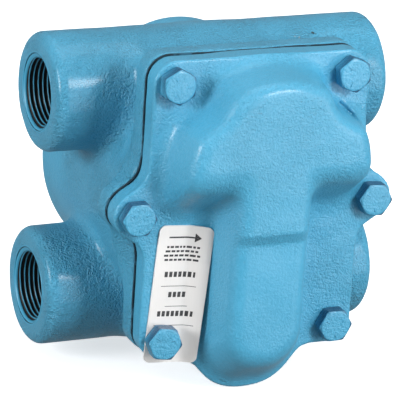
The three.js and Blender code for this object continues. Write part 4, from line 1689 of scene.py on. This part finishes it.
@dataclass
class CoverBolts:
    """Six painted hexagon bolts."""

    flats: float = 14.3
    head: float = 6.0
    shank: float = 4.7
    length: float = 20.0
    pitch: float = 1.5875
    chamfer: float = 6.9
    # How far the head's side faces and washer face are darkened, as painted shade, through the groove
    # attribute.
    painted_side_shade: float = 0.75

    def rings(self) -> list[Ring]:
        """Half outline from the top of the head to the end of the shank; 0 is the head's underside.

        Returns:
            Rings for the turned tree.
        """
        top = -self.head
        corner = self.flats / math.sqrt(3) + 0.3
        steps = [(corner - self.chamfer) * i / 9 for i in range(10)]
        # The cone's outer rings and the whole foot carry painted shade on the head's side faces.
        cone = [(self.chamfer + step, top + 0.1 + 0.55 * step,
                 self.painted_side_shade * min(1.0, max(0.0, step * 1.6))) for step in steps]
        crown = [(0.0, top, 0.0), (self.chamfer * 0.5, top, 0.0), (self.chamfer - 0.6, top, 0.0),
                 (self.chamfer - 0.25, top + 0.02, 0.0)]
        foot = softened([(corner, -2.0), (corner, -0.45), (6.9, -0.45), (6.9, 0.0), (self.shank, 0.0),
                         (self.shank, 1.5)], 0.12)
        foot = [(radius, along, self.painted_side_shade) for radius, along, _ in foot]
        thread = thread_rings(self.shank, 2.0, self.length - 1.0, self.pitch, -0.75)
        end = [(self.shank - 0.9, self.length - 0.1, 0.0), (self.shank - 1.2, self.length, 0.0),
               (0.0, self.length, 0.0)]
        return crown + cone + foot + thread + end

    def marks(self, seats: Sequence[Place], finish: Material) -> None:
        """Three short radial grade dashes on each head.

        Args:
            seats: places of the bolts.
            finish: its material.
        """
        boxes = []
        for seat in seats:
            for third in range(3):
                angle = math.radians(seat.turn[1] + 90 + 120 * third)
                out = np.array([math.cos(angle), 0.0, -math.sin(angle)])
                along = np.array([-out[2], 0.0, out[0]])
                middle = np.array([seat.x, seat.y - self.head, seat.z]) + out * 4.4
                boxes.append((middle, out * 1.25, along * 0.28))
        vertices, faces = [], []
        for middle, reach, across in boxes:
            first = len(vertices)
            for level, shrink in ((0.2, 1.0), (-0.22, 0.8)):
                for i, j in ((-1, -1), (1, -1), (1, 1), (-1, 1)):
                    vertices.append(middle + shrink * (i * reach + j * across) + np.array([0.0, level, 0.0]))
            faces += [[first + k for k in quad] for quad in
                      ((0, 1, 2, 3), (7, 6, 5, 4), (0, 4, 5, 1), (1, 5, 6, 2), (2, 6, 7, 3), (3, 7, 4, 0))]
        made = new_object("bolt_grade_marks", np.array(vertices), faces)
        outward(made)
        settle(made, Body.HOUSING, finish)

    def build(self, lathe: Lathe, finish: Material) -> None:
        """Makes the bolts as one piece, each turned as it stopped.

        Args:
            lathe: what turns its pieces.
            finish: its material.
        """
        seats = []
        for turn in BoltTurn:
            low, high = node_box(f"cover_bolt_{turn.name}")
            middle = (low + high) / 2
            seats.append(Place(middle[0], high[1] - self.length, middle[2], (0.0, turn.value, 0.0)))
        made = lathe.make("cover_bolts", self.rings(), seats, finish, 96, self.flats, self.pitch)
        hand_over(made, Body.HOUSING, [f"cover_bolt_{turn.name}" for turn in BoltTurn])
        self.marks(seats, finish)


def cut_with(made: Piece, cutter: Piece) -> None:
    """Cuts one closed mesh with another and removes the cutter.

    Args:
        made: the piece.
        cutter: what is taken out; it is removed.
    """
    modifier = made.modifiers.new("cut", "BOOLEAN")
    modifier.operation = "DIFFERENCE"
    modifier.solver = "EXACT"
    modifier.object = cutter
    plain_mesh(made)
    bpy.data.objects.remove(cutter)


def circle(count: int, radius: float, x: float, z: float) -> Array:
    """Points of a circle in x and z."""
    angles = np.arange(count) / count * 2 * math.pi
    return np.column_stack([np.cos(angles), np.sin(angles)]) * radius + (x, z)


def bolt_middle(turn: BoltTurn) -> Array:
    """Middle of a cover bolt's node, in x and z."""
    low, high = node_box(f"cover_bolt_{turn.name}")
    return ((low + high) / 2)[[0, 2]]


def prism(name: str, outline: Array, y0: float, y1: float) -> Piece:
    """Closed prism of an outline in x and z, from y0 to y1.

    Args:
        name: of the piece.
        outline: its points in x and z.
        y0: where it starts.
        y1: where it ends.

    Returns:
        The piece.
    """
    count = len(outline)
    vertices = np.array([(x, y, z) for y in (y0, y1) for x, z in outline])
    sides = [[i, (i + 1) % count, count + (i + 1) % count, count + i] for i in range(count)]
    ends = [list(range(count))[::-1], list(range(count, 2 * count))]
    made = new_object(name, vertices, [*ends, *sides], smooth=False)
    outward(made)
    return made


@dataclass
class Gasket:
    """Fibre sheet between the flanges, a little inside their edges.

    Attributes:
        joint: the bolted joint.
        inset: of its edge from the flanges' own.
        wander: how far its edge strays from that.
        squeeze: how far it is pressed into each flange.
        window: radius of the chamber's window, and window_z its middle.
        hole: radius of the bolt holes.
    """

    joint: Joint
    inset: float = 0.3
    wander: float = 0.2
    squeeze: float = 0.06
    window: float = 42.0
    window_z: float = -24.0
    hole: float = 5.2

    def outline(self, count: int = 400) -> Array:
        """Points of the sheet's edge, found from the flange's own outline.

        Args:
            count: number of points.

        Returns:
            Points in x and z, one row each.
        """
        angles = np.arange(count) / count * 2 * math.pi
        middle = np.array([0.0, -44.0])
        low, high = np.zeros(count), np.full(count, 120.0)
        inset = self.inset + self.wander * np.sin(angles * 5 + 1) * np.sin(angles * 13)
        for _ in range(30):
            reach = (low + high) / 2
            x, z = middle[0] + reach * np.cos(angles), middle[1] + reach * np.sin(angles)
            outside = self.joint.outline(np.column_stack([x, np.zeros(count), z])) > -inset
            high = np.where(outside, reach, high)
            low = np.where(outside, low, reach)
        return np.column_stack([middle[0] + low * np.cos(angles), middle[1] + low * np.sin(angles)])

    def build(self, finish: Material) -> None:
        """Makes the sheet with its two windows and six holes.

        Args:
            finish: its material.
        """
        low, high = node_box("cover_gasket")
        made = prism("gasket_sheet", self.outline(), low[1] - self.squeeze, high[1] + self.squeeze)
        reach = (low[1] - 2, high[1] + 2)
        cut_with(made, prism("chamber_window", circle(96, self.window, 0, self.window_z), *reach))
        rounding = circle(96, 1, 0, 0)
        corner = np.sign(rounding) * (6, 11) + rounding * 8
        cut_with(made, prism("outlet_window", corner + (0, -92), *reach))
        for turn in BoltTurn:
            cut_with(made, prism("bolt_hole", circle(24, self.hole, *bolt_middle(turn)), *reach))
        shade_smooth(made, 35.0)
        settle(made, Body.HOUSING, finish, ["cover_gasket"])


@dataclass
class Nameplate:
    """Thin aluminium plate under the bottom left bolt, its right edge lifted by the leg's fillet.

    Its own coordinates are u across and v up, from its lower left corner.

    Attributes:
        width: of the plate, with its height, thickness and corner radius.
        lean: turn about the bolt, in degrees.
        hole: the bolt's place on the plate, and hole_radius its radius.
        lift: how far the right edge is raised, between lift_start and lift_end along x.
    """

    width: float = 24.4
    height: float = 64.4
    thickness: float = 0.8
    corner: float = 3.0
    lean: float = 4.0
    hole: tuple[float, float] = (7.2, 10.8)
    hole_radius: float = 5.2
    lift: float = 4.2
    lift_start: float = -33.0
    lift_end: float = -21.5

    def bent(self, u: Array, v: Array, above: float = 0.0) -> Array:
        """Points of the plate's front face in the frame, raised by a little.

        Args:
            u: places across the plate.
            v: places up the plate.
            above: height over the face.

        Returns:
            Points, one row each.
        """
        bolt_x, bolt_z = bolt_middle(BoltTurn.bottom_left)
        back = node_box("nameplate")[1][1]
        turn = math.radians(self.lean)
        across, up = u - self.hole[0], v - self.hole[1]
        x = bolt_x + across * math.cos(turn) + up * math.sin(turn)
        z = bolt_z + up * math.cos(turn) - across * math.sin(turn)
        share = np.clip((x - self.lift_start) / (self.lift_end - self.lift_start), 0.0, 1.0)
        rise = self.lift * share * share * (3 - 2 * share)
        return np.column_stack([x, back - self.thickness - rise - above, z])

    def sheet(self) -> tuple[Array, Array]:
        """Grid of plate coordinates with round corners, and its quads.

        Returns:
            Plate coordinates, and quads.
        """
        columns, rows, corner = 25, 63, self.corner
        steps = np.linspace(0, self.width, columns), np.linspace(0, self.height, rows)
        u, v = (grid.ravel() for grid in np.meshgrid(*steps, indexing="ij"))
        for at_u, side_u in ((corner, -1), (self.width - corner, 1)):
            for at_v, side_v in ((corner, -1), (self.height - corner, 1)):
                a, b = (u - at_u) * side_u / corner, (v - at_v) * side_v / corner
                inside = (a > 0) & (b > 0)
                round_u = at_u + side_u * corner * a * np.sqrt(np.clip(1 - b * b / 2, 0, 1))
                round_v = at_v + side_v * corner * b * np.sqrt(np.clip(1 - a * a / 2, 0, 1))
                u, v = np.where(inside, round_u, u), np.where(inside, round_v, v)
        index = np.arange(columns * rows).reshape(columns, rows)
        corners = [index[:-1, :-1], index[1:, :-1], index[1:, 1:], index[:-1, 1:]]
        return np.column_stack([u, v]), np.stack(corners, axis=-1).reshape(-1, 4)

    def patch(self, u0: float, u1: float, v0: float, v1: float) -> tuple[Array, list[list[int]]]:
        """Closed thin bar of print that follows the plate.

        Args:
            u0: left end.
            u1: right end.
            v0: lower edge.
            v1: upper edge.

        Returns:
            Vertices and faces.
        """
        steps = max(2, round((u1 - u0) / 1.5) + 1)
        u = np.linspace(u0, u1, steps)
        layers = [self.bent(u, np.full(steps, v), above) for above in (-0.02, 0.04) for v in (v0, v1)]
        faces = []
        for a in range(steps - 1):
            b, c, d = steps + a, 2 * steps + a, 3 * steps + a
            faces += [[a, a + 1, b + 1, b], [c, d, d + 1, c + 1],
                      [a, c, c + 1, a + 1], [b, b + 1, d + 1, d]]
        faces += [[0, steps, 3 * steps, 2 * steps],
                  [steps - 1, 3 * steps - 1, 4 * steps - 1, 2 * steps - 1]]
        return np.concatenate(layers), faces

    def bars(self) -> list[tuple[float, float, float, float]]:
        """Generic print: an arrow, rows of short bars and three headed fields.

        Returns:
            Bars as (u0, u1, v0, v1).
        """
        bars = [(5.0, 19.0, 58.6, 59.3)]
        for i in range(7):
            back, half = 0.35 * i, 0.28 * i
            bars.append((19.0 - back, 19.35 - back, 58.95 - half - 0.3, 58.95 + half + 0.3))
        rng = np.random.default_rng(11)
        for row, (start, end) in enumerate(((4.5, 19.5), (4.0, 20.0), (3.5, 20.5), (4.0, 20.0))):
            u = start
            while u < end - 0.8:
                run = float(rng.uniform(0.9, 2.4))
                low = 54.0 - 2.0 * row
                bars.append((u, min(u + run, end), low, low + 0.95))
                u += run + 0.55
        for low, start, end in ((40.4, 5.0, 19.0), (30.9, 8.0, 16.5), (21.9, 3.8, 20.2)):
            u = start
            while u < end - 0.6:
                bars.append((u, min(u + 1.5, end), low, low + 2.5))
                u += 2.2
            bars.append((start - 1.0, end + 1.0, low - 4.4, low - 4.15))
        return bars

    def build(self, metal: Material, ink: Material) -> None:
        """Makes the bent plate and its print.

        Args:
            metal: finish of the plate.
            ink: finish of its print.
        """
        flat, quads = self.sheet()
        made = new_object("nameplate_sheet", self.bent(flat[:, 0], flat[:, 1]), quads)
        solid = made.modifiers.new("thickness", "SOLIDIFY")
        solid.thickness = self.thickness * MM
        solid.offset = -1.0
        plain_mesh(made)
        outward(made)
        hole = circle(32, self.hole_radius, *bolt_middle(BoltTurn.bottom_left))
        cut_with(made, prism("plate_hole", hole, -70.0, -60.0))
        shade_smooth(made, 35.0)
        settle(made, Body.HOUSING, metal, ["nameplate"])
        points, faces = [], []
        for bar in self.bars():
            patch, patch_faces = self.patch(*bar)
            faces += [[index + len(points) for index in face] for face in patch_faces]
            points.extend(patch)
        ink_piece = new_object("nameplate_print", np.array(points), faces, smooth=False)
        outward(ink_piece)
        settle(ink_piece, Body.HOUSING, ink)


# ---------------------------------------------------------------- mechanism


@dataclass
class OutletValve:
    """Seat, washer and pin of the outlet valve, and the bracket and pivot of its lever."""

    seat_flats: float = 15.0

    def seat(self) -> list[Ring]:
        """Half outline of the seat, with its orifice.

        Returns:
            Rings for the turned tree.
        """
        thread = thread_rings(6.0, 1.0, 9.2, 1.5, -0.8)
        tip = softened([(2.5, 7.0), (2.5, 0.0), (5.2, 0.0), (5.9, 0.8)], 0.15)
        head = softened([(5.2, 9.5), (5.2, 10.5), (9.0, 10.5), (9.0, 14.4), (7.3, 15.5), (3.5, 15.5),
                         (2.5, 14.4), (2.5, 7.0)], 0.15)
        return [(2.5, 7.0, 0.0), *tip[1:], *thread, *head]

    def pin(self) -> list[Ring]:
        """Half outline of the pin: guide, cone, collar, waist for the fork and end collar."""
        return softened([(0.0, 0.0), (1.4, 0.0), (1.9, 0.8), (1.9, 4.9), (3.2, 6.3), (3.2, 9.9), (3.6, 11.4),
                         (3.6, 12.8), (1.6, 12.8), (1.6, 17.2), (3.6, 17.2), (3.6, 18.6), (0.0, 18.6)], 0.2)

    def build(self, lathe: Lathe, nodes: dict[str, Piece]) -> None:
        """Makes every piece of it.

        Args:
            lathe: what turns its pieces.
            nodes: the frame's nodes.
        """
        lathe.fit("seat_turned", "valve_seat", self.seat(), facets=72, flats=self.seat_flats, pitch=1.5)
        washer = softened([(6.3, 0.0), (7.8, 0.0), (7.8, 1.0), (6.3, 1.0)], 0.25, closed=True)
        lathe.fit("seat_washer", "seat_gasket", washer, Slot.COPPER)
        lathe.fit("valve_pin_turned", "valve_pin", self.pin(), body=Body.OUTLET_VALVE)
        pivot = softened([(0.0, 0.0), (3.0, 0.0), (3.0, 1.4), (2.0, 1.4), (2.0, 23.6), (1.5, 23.6),
                          (1.5, 24.6), (2.0, 24.6), (2.0, 25.7), (0.0, 25.7)], 0.2)
        seat = on_axis("pivot_pin", Axis.X, (0.0, 0.0, -90.0))
        made = lathe.make("pivot_pin_turned", pivot, [seat], lathe.metals[Slot.STAINLESS])
        hand_over(made, Body.HOUSING, ["pivot_pin"])
        lathe.press("lever_bracket_pressed", nodes["lever_bracket"])
        lathe.press("pivot_clip_pressed", nodes["pivot_clip"], edge=0.12)


@dataclass
class Screws:
    """Slotted screws of the bracket and of the air vent's strap."""

    shank: float = 1.8
    length: float = 7.0
    head: float = 3.24
    slot: float = 0.8
    pitch: float = 0.7

    def rings(self) -> list[Ring]:
        """Half outline from the tip to the top of the head.

        Returns:
            Rings for the turned tree.
        """
        total = self.length + 2.2
        thread = thread_rings(self.shank, 0.8, self.length - 0.8, self.pitch, -0.4)
        top = softened([(self.shank, self.length - 0.6), (self.shank, self.length), (self.head, self.length),
                        (self.head, total - 0.8), (self.head - 0.7, total), (0.0, total)], 0.2)
        return [(0.0, 0.0, 0.0), (1.3, 0.0, 0.0), (self.shank - 0.2, 0.5, 0.0), *thread, *top]

    def build(self, lathe: Lathe) -> None:
        """Makes the two pairs.

        Args:
            lathe: what turns its pieces.
        """
        finish = lathe.metals[Slot.STAINLESS]
        for pair in ("bracket_screw", "vent_screw"):
            nodes = [f"{pair}_left", f"{pair}_right"]
            seats = [on_axis(node) for node in nodes]
            made = lathe.make(f"{pair}s", self.rings(), seats, finish, 40, pitch=self.pitch)
            for turn, seat in zip((0.3, -0.5), seats):
                span, half = self.head * 1.5, self.slot / 2
                corners = np.array([(-span, -half), (span, -half), (span, half), (-span, half)])
                spin = np.array([[math.cos(turn), math.sin(turn)], [-math.sin(turn), math.cos(turn)]])
                start = seat.y + self.length + 1.2
                cut_with(made, prism("slot", corners @ spin + (seat.x, seat.z), start, start + 3))
            made.data.set_sharp_from_angle(angle=math.radians(40.0))
            made.data.materials.clear()
            made.data.materials.append(finish)
            hand_over(made, Body.HOUSING, nodes)


@dataclass
class FloatArm:
    """Lever and ball float, which swing together."""

    radius: float = 24.0
    wall: float = 0.8
    bead: float = 0.4

    def shell(self, sign: int, hole: float) -> list[Ring]:
        """Half outline of one half of the ball about its centre, with half of the weld bead.

        Args:
            sign: side of the half: -1 or 1.
            hole: radius of its hole.

        Returns:
            Rings for the turned tree.
        """
        steps = 40
        first = math.asin(hole / self.radius)
        angles = [first + (math.pi / 2 - first) * i / steps for i in range(steps + 1)]
        outside = []
        for angle in angles:
            along = self.radius * math.cos(angle)
            bead = self.bead * math.exp(-((along / 1.1) ** 2))
            outside.append(((self.radius + bead) * math.sin(angle), sign * along, 0.0))
        thin = (self.radius - self.wall) / self.radius
        inside = [(self.radius * thin * math.sin(angle), sign * self.radius * thin * math.cos(angle), 0.0)
                  for angle in reversed(angles)]
        return outside + inside + ([outside[0]] if hole else [])

    def build(self, lathe: Lathe, nodes: dict[str, Piece]) -> None:
        """Makes every piece of the arm.

        Args:
            lathe: what turns its pieces.
            nodes: the frame's nodes.
        """
        arm = Body.FLOAT_ARM
        low, high = node_box("float_rear_shell")
        centre = Place((low[0] + high[0]) / 2, low[1], (low[2] + high[2]) / 2)
        for side, sign, hole in (("front", -1, 3.5), ("rear", 1, 0.0)):
            rings, steel = self.shell(sign, hole), lathe.metals[Slot.STAINLESS]
            made = lathe.make(f"float_{side}_pressing", rings, [centre], steel, 96)
            hand_over(made, arm, [f"float_{side}_shell"])
        stud = [(0.0, 0.0, 0.0), (1.9, 0.0, 0.0), (2.2, 0.4, 0.0), *thread_rings(2.4, 0.6, 7.2, 0.8, -0.45),
                *softened([(2.4, 7.5), (2.4, 8.0), (5.0, 8.0), (5.0, 11.0), (3.2, 11.8), (3.2, 15.0),
                           (0.0, 15.0)], 0.2)]
        lathe.fit("float_stud_turned", "float_stud", stud, body=arm, pitch=0.8)
        washer = softened([(2.7, 0.0), (4.6, 0.0), (4.6, 0.8), (2.7, 0.8)], 0.15, closed=True)
        lathe.fit("float_lock_washer", "float_washer", washer, body=arm)
        nut = softened([(2.7, 0.0), (4.1, 0.0), (5.0, 0.45), (5.0, 3.0), (2.7, 3.0)], 0.1, closed=True)
        lathe.fit("float_lock_nut", "float_nut", nut, body=arm, facets=72, flats=8.5)
        lathe.press("float_lever_pressed", nodes["float_lever"], arm)


@dataclass
class AirVent:
    """Thermostatic air vent: seat, filled capsule with its valve, and strap."""

    capsule: float = 11.5
    thickness: float = 7.0

    def capsule_rings(self) -> list[Ring]:
        """Half outline of the capsule, with pressed rings on both faces and a rolled rim.

        Returns:
            Rings for the turned tree.
        """
        rings = [(0.0, 3.0, 0.0), (2.7, 3.0, 0.0), (2.7, 0.2, 0.0), (2.9, 0.0, 0.0)]
        face = [(3.2 + 5.4 * i / 24, 0.3 - 0.3 * math.cos(i / 24 * 4 * math.pi)) for i in range(25)]
        rings += [(radius, along, 0.0) for radius, along in face]
        middle = self.thickness / 2
        rim = [(8.6, 0.1), (9.4, middle - 0.9), (self.capsule, middle - 0.9), (self.capsule, middle + 0.9),
               (9.4, middle + 0.9), (8.6, self.thickness - 0.1)]
        rings += softened(rim, 0.5)[1:-1]
        rings += [(radius, self.thickness - along, 0.0) for radius, along in reversed(face)]
        return rings + [(0.0, self.thickness, 0.0)]

    def build(self, lathe: Lathe, nodes: dict[str, Piece]) -> None:
        """Makes every piece of the vent.

        Args:
            lathe: what turns its pieces.
            nodes: the frame's nodes.
        """
        seat = [(1.4, 3.0, 0.0), *softened([(1.4, 3.0), (1.4, 0.0), (2.5, 0.0), (2.9, 0.5)], 0.1)[1:],
                *thread_rings(3.0, 0.7, 4.0, 1.0, -0.5),
                *softened([(2.8, 4.2), (2.8, 4.5), (5.4, 4.5), (5.4, 6.6), (4.4, 7.0), (1.4, 7.0),
                           (1.4, 3.0)], 0.1)]
        lathe.fit("vent_seat_turned", "vent_seat", seat, Slot.BRASS, facets=72, flats=9.0)
        head = softened([(0.0, 0.0), (1.0, 0.0), (2.4, 0.9), (2.4, 4.2), (0.0, 4.2)], 0.15)
        lathe.fit("vent_valve_turned", "vent_valve", head, body=Body.AIR_VENT_VALVE)
        lathe.fit("vent_capsule_pressed", "vent_capsule", self.capsule_rings(), facets=72)
        lathe.press("vent_strap", nodes["vent_cage"])


# ---------------------------------------------------------------- studio


@dataclass
class Studio:
    """Pale floor, soft light and the camera.

    Attributes:
        floor_z: height of the floor.
        floor_reach: how far it goes, and floor_glow its own light.
        low_sky: strength of the sky below, and high_sky above.
        azimuth: of the camera about the trap, with its elevation and roll, in degrees.
        distance: from the camera to the place it aims at.
        lens: focal length.
        aim: that place.
    """

    floor_z: float = -125.8
    floor_reach: float = 4000.0
    floor_glow: float = 0.62
    low_sky: float = 0.26
    high_sky: float = 0.28
    azimuth: float = -24.83
    elevation: float = 19.11
    roll: float = 3.72
    distance: float = 1469.4
    lens: float = 302.7
    aim: tuple[float, float, float] = (-29.65, -69.0, -31.56)

    def floor(self) -> None:
        """Lays a pale floor under the trap."""
        sides = ((-1, -1), (1, -1), (1, 1), (-1, 1))
        corners = np.array([(x * self.floor_reach, y * self.floor_reach, self.floor_z) for x, y in sides])
        made = new_object("studio_floor", corners, [(0, 1, 2, 3)], smooth=False)
        material = bpy.data.materials.new("studio_floor")
        material.use_nodes = True
        shader = material.node_tree.nodes["Principled BSDF"]
        shader.inputs["Base Color"].default_value = (0.93, 0.93, 0.93, 1.0)
        shader.inputs["Roughness"].default_value = 0.9
        shader.inputs["Emission Color"].default_value = (1.0, 1.0, 1.0, 1.0)
        shader.inputs["Emission Strength"].default_value = self.floor_glow
        made.data.materials.append(material)
        made.visible_diffuse = False
        made.visible_glossy = False

    def lamp(self, name: str, place: tuple[float, float, float], size: float, power: float) -> None:
        """Hangs one soft square lamp, aimed at the trap; place is in metres.

        Args:
            name: of the lamp.
            place: where it hangs, in metres.
            size: of its side, in metres.
            power: in watts.
        """
        light = bpy.data.lights.new(name, "AREA")
        light.size = size
        light.energy = power
        made = bpy.data.objects.new(name, light)
        made.location = place
        aim = Vector((0, -0.02, -0.045)) - Vector(place)
        made.rotation_euler = aim.to_track_quat("-Z", "Y").to_euler()
        bpy.context.scene.collection.objects.link(made)

    def sky(self) -> None:
        """Sets a sky that is bright above and dim below."""
        world = bpy.data.worlds.new("studio_sky")
        world.use_nodes = True
        tree = world.node_tree
        place = tree.nodes.new("ShaderNodeTexCoord")
        split = tree.nodes.new("ShaderNodeSeparateXYZ")
        tree.links.new(place.outputs["Generated"], split.inputs[0])
        spread = tree.nodes.new("ShaderNodeMapRange")
        for name, value in zip(RANGE_INPUTS, (-0.4, 0.8, self.low_sky, self.high_sky)):
            spread.inputs[name].default_value = value
        tree.links.new(split.outputs["Z"], spread.inputs["Value"])
        background = tree.nodes["Background"]
        background.inputs["Color"].default_value = (1.0, 1.0, 1.0, 1.0)
        tree.links.new(spread.outputs[0], background.inputs["Strength"])
        bpy.context.scene.world = world

    def lights(self) -> None:
        """Sets the sky and four soft lamps."""
        self.sky()
        bpy.context.scene.view_settings.view_transform = "Standard"
        self.lamp("key", (0.55, -1.25, 0.74), 0.4, 14.0)
        self.lamp("card", (0.72, -1.05, -0.02), 0.9, 11.0)
        self.lamp("left", (-1.25, -0.24, 0.34), 0.45, 13.0)
        self.lamp("top", (0.1, 0.15, 1.3), 0.9, 6.0)

    def camera(self) -> None:
        """Places the camera."""
        turn, lift, roll = (math.radians(a) for a in (self.azimuth, self.elevation, self.roll))
        back = Vector((math.sin(turn) * math.cos(lift), -math.cos(turn) * math.cos(lift), math.sin(lift)))
        right = Vector((math.cos(turn), math.sin(turn), 0.0))
        up = back.cross(right)
        side = right * math.cos(roll) + up * math.sin(roll)
        head = up * math.cos(roll) - right * math.sin(roll)
        data = bpy.data.cameras.new("camera")
        data.lens = self.lens
        data.sensor_width = 36.0
        data.clip_end = 100.0
        made = bpy.data.objects.new("camera", data)
        turned = Matrix((side, head, back)).transposed().to_4x4()
        turned.translation = (Vector(self.aim) + back * self.distance) * MM
        made.matrix_world = turned
        bpy.context.scene.collection.objects.link(made)
        bpy.context.scene.camera = made

    def build(self) -> None:
        """Sets up the whole studio."""
        self.floor()
        self.lights()
        self.camera()


# ---------------------------------------------------------------- the trap


def main() -> None:
    """Builds the studio and every sub-assembly in order."""
    logging.basicConfig(level=logging.INFO, format="%(name)s %(message)s")
    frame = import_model()
    Studio().build()
    nodes = frame["nodes"]
    enamel = CastEnamel().material("blue_enamel")
    bare = BareIron().material("bare_iron")
    lathe = Lathe({Slot.STAINLESS: PlainMetal((0.62, 0.62, 0.60)).material("stainless_steel"),
                   Slot.BRASS: PlainMetal((0.72, 0.52, 0.22)).material("turned_brass"),
                   Slot.COPPER: PlainMetal((0.80, 0.38, 0.22), 0.4).material("soft_copper")})
    joint = Joint()
    body = BodyCasting(joint)
    body.build(enamel, bare)
    CoverCasting(joint).build(enamel, bare)
    PortThreads(body).build(lathe, PaintedThread().material("painted_thread"))
    CoverBolts().build(lathe, enamel)
    Gasket(joint).build(GasketSheet().material("gasket_fibre_sheet"))
    Nameplate().build(PlateMetal().material("satin_aluminium"), Ink().material("plate_ink"))
    OutletValve().build(lathe, nodes)
    Screws().build(lathe)
    FloatArm().build(lathe, nodes)
    AirVent().build(lathe, nodes)


if __name__ == "__main__":
    main()
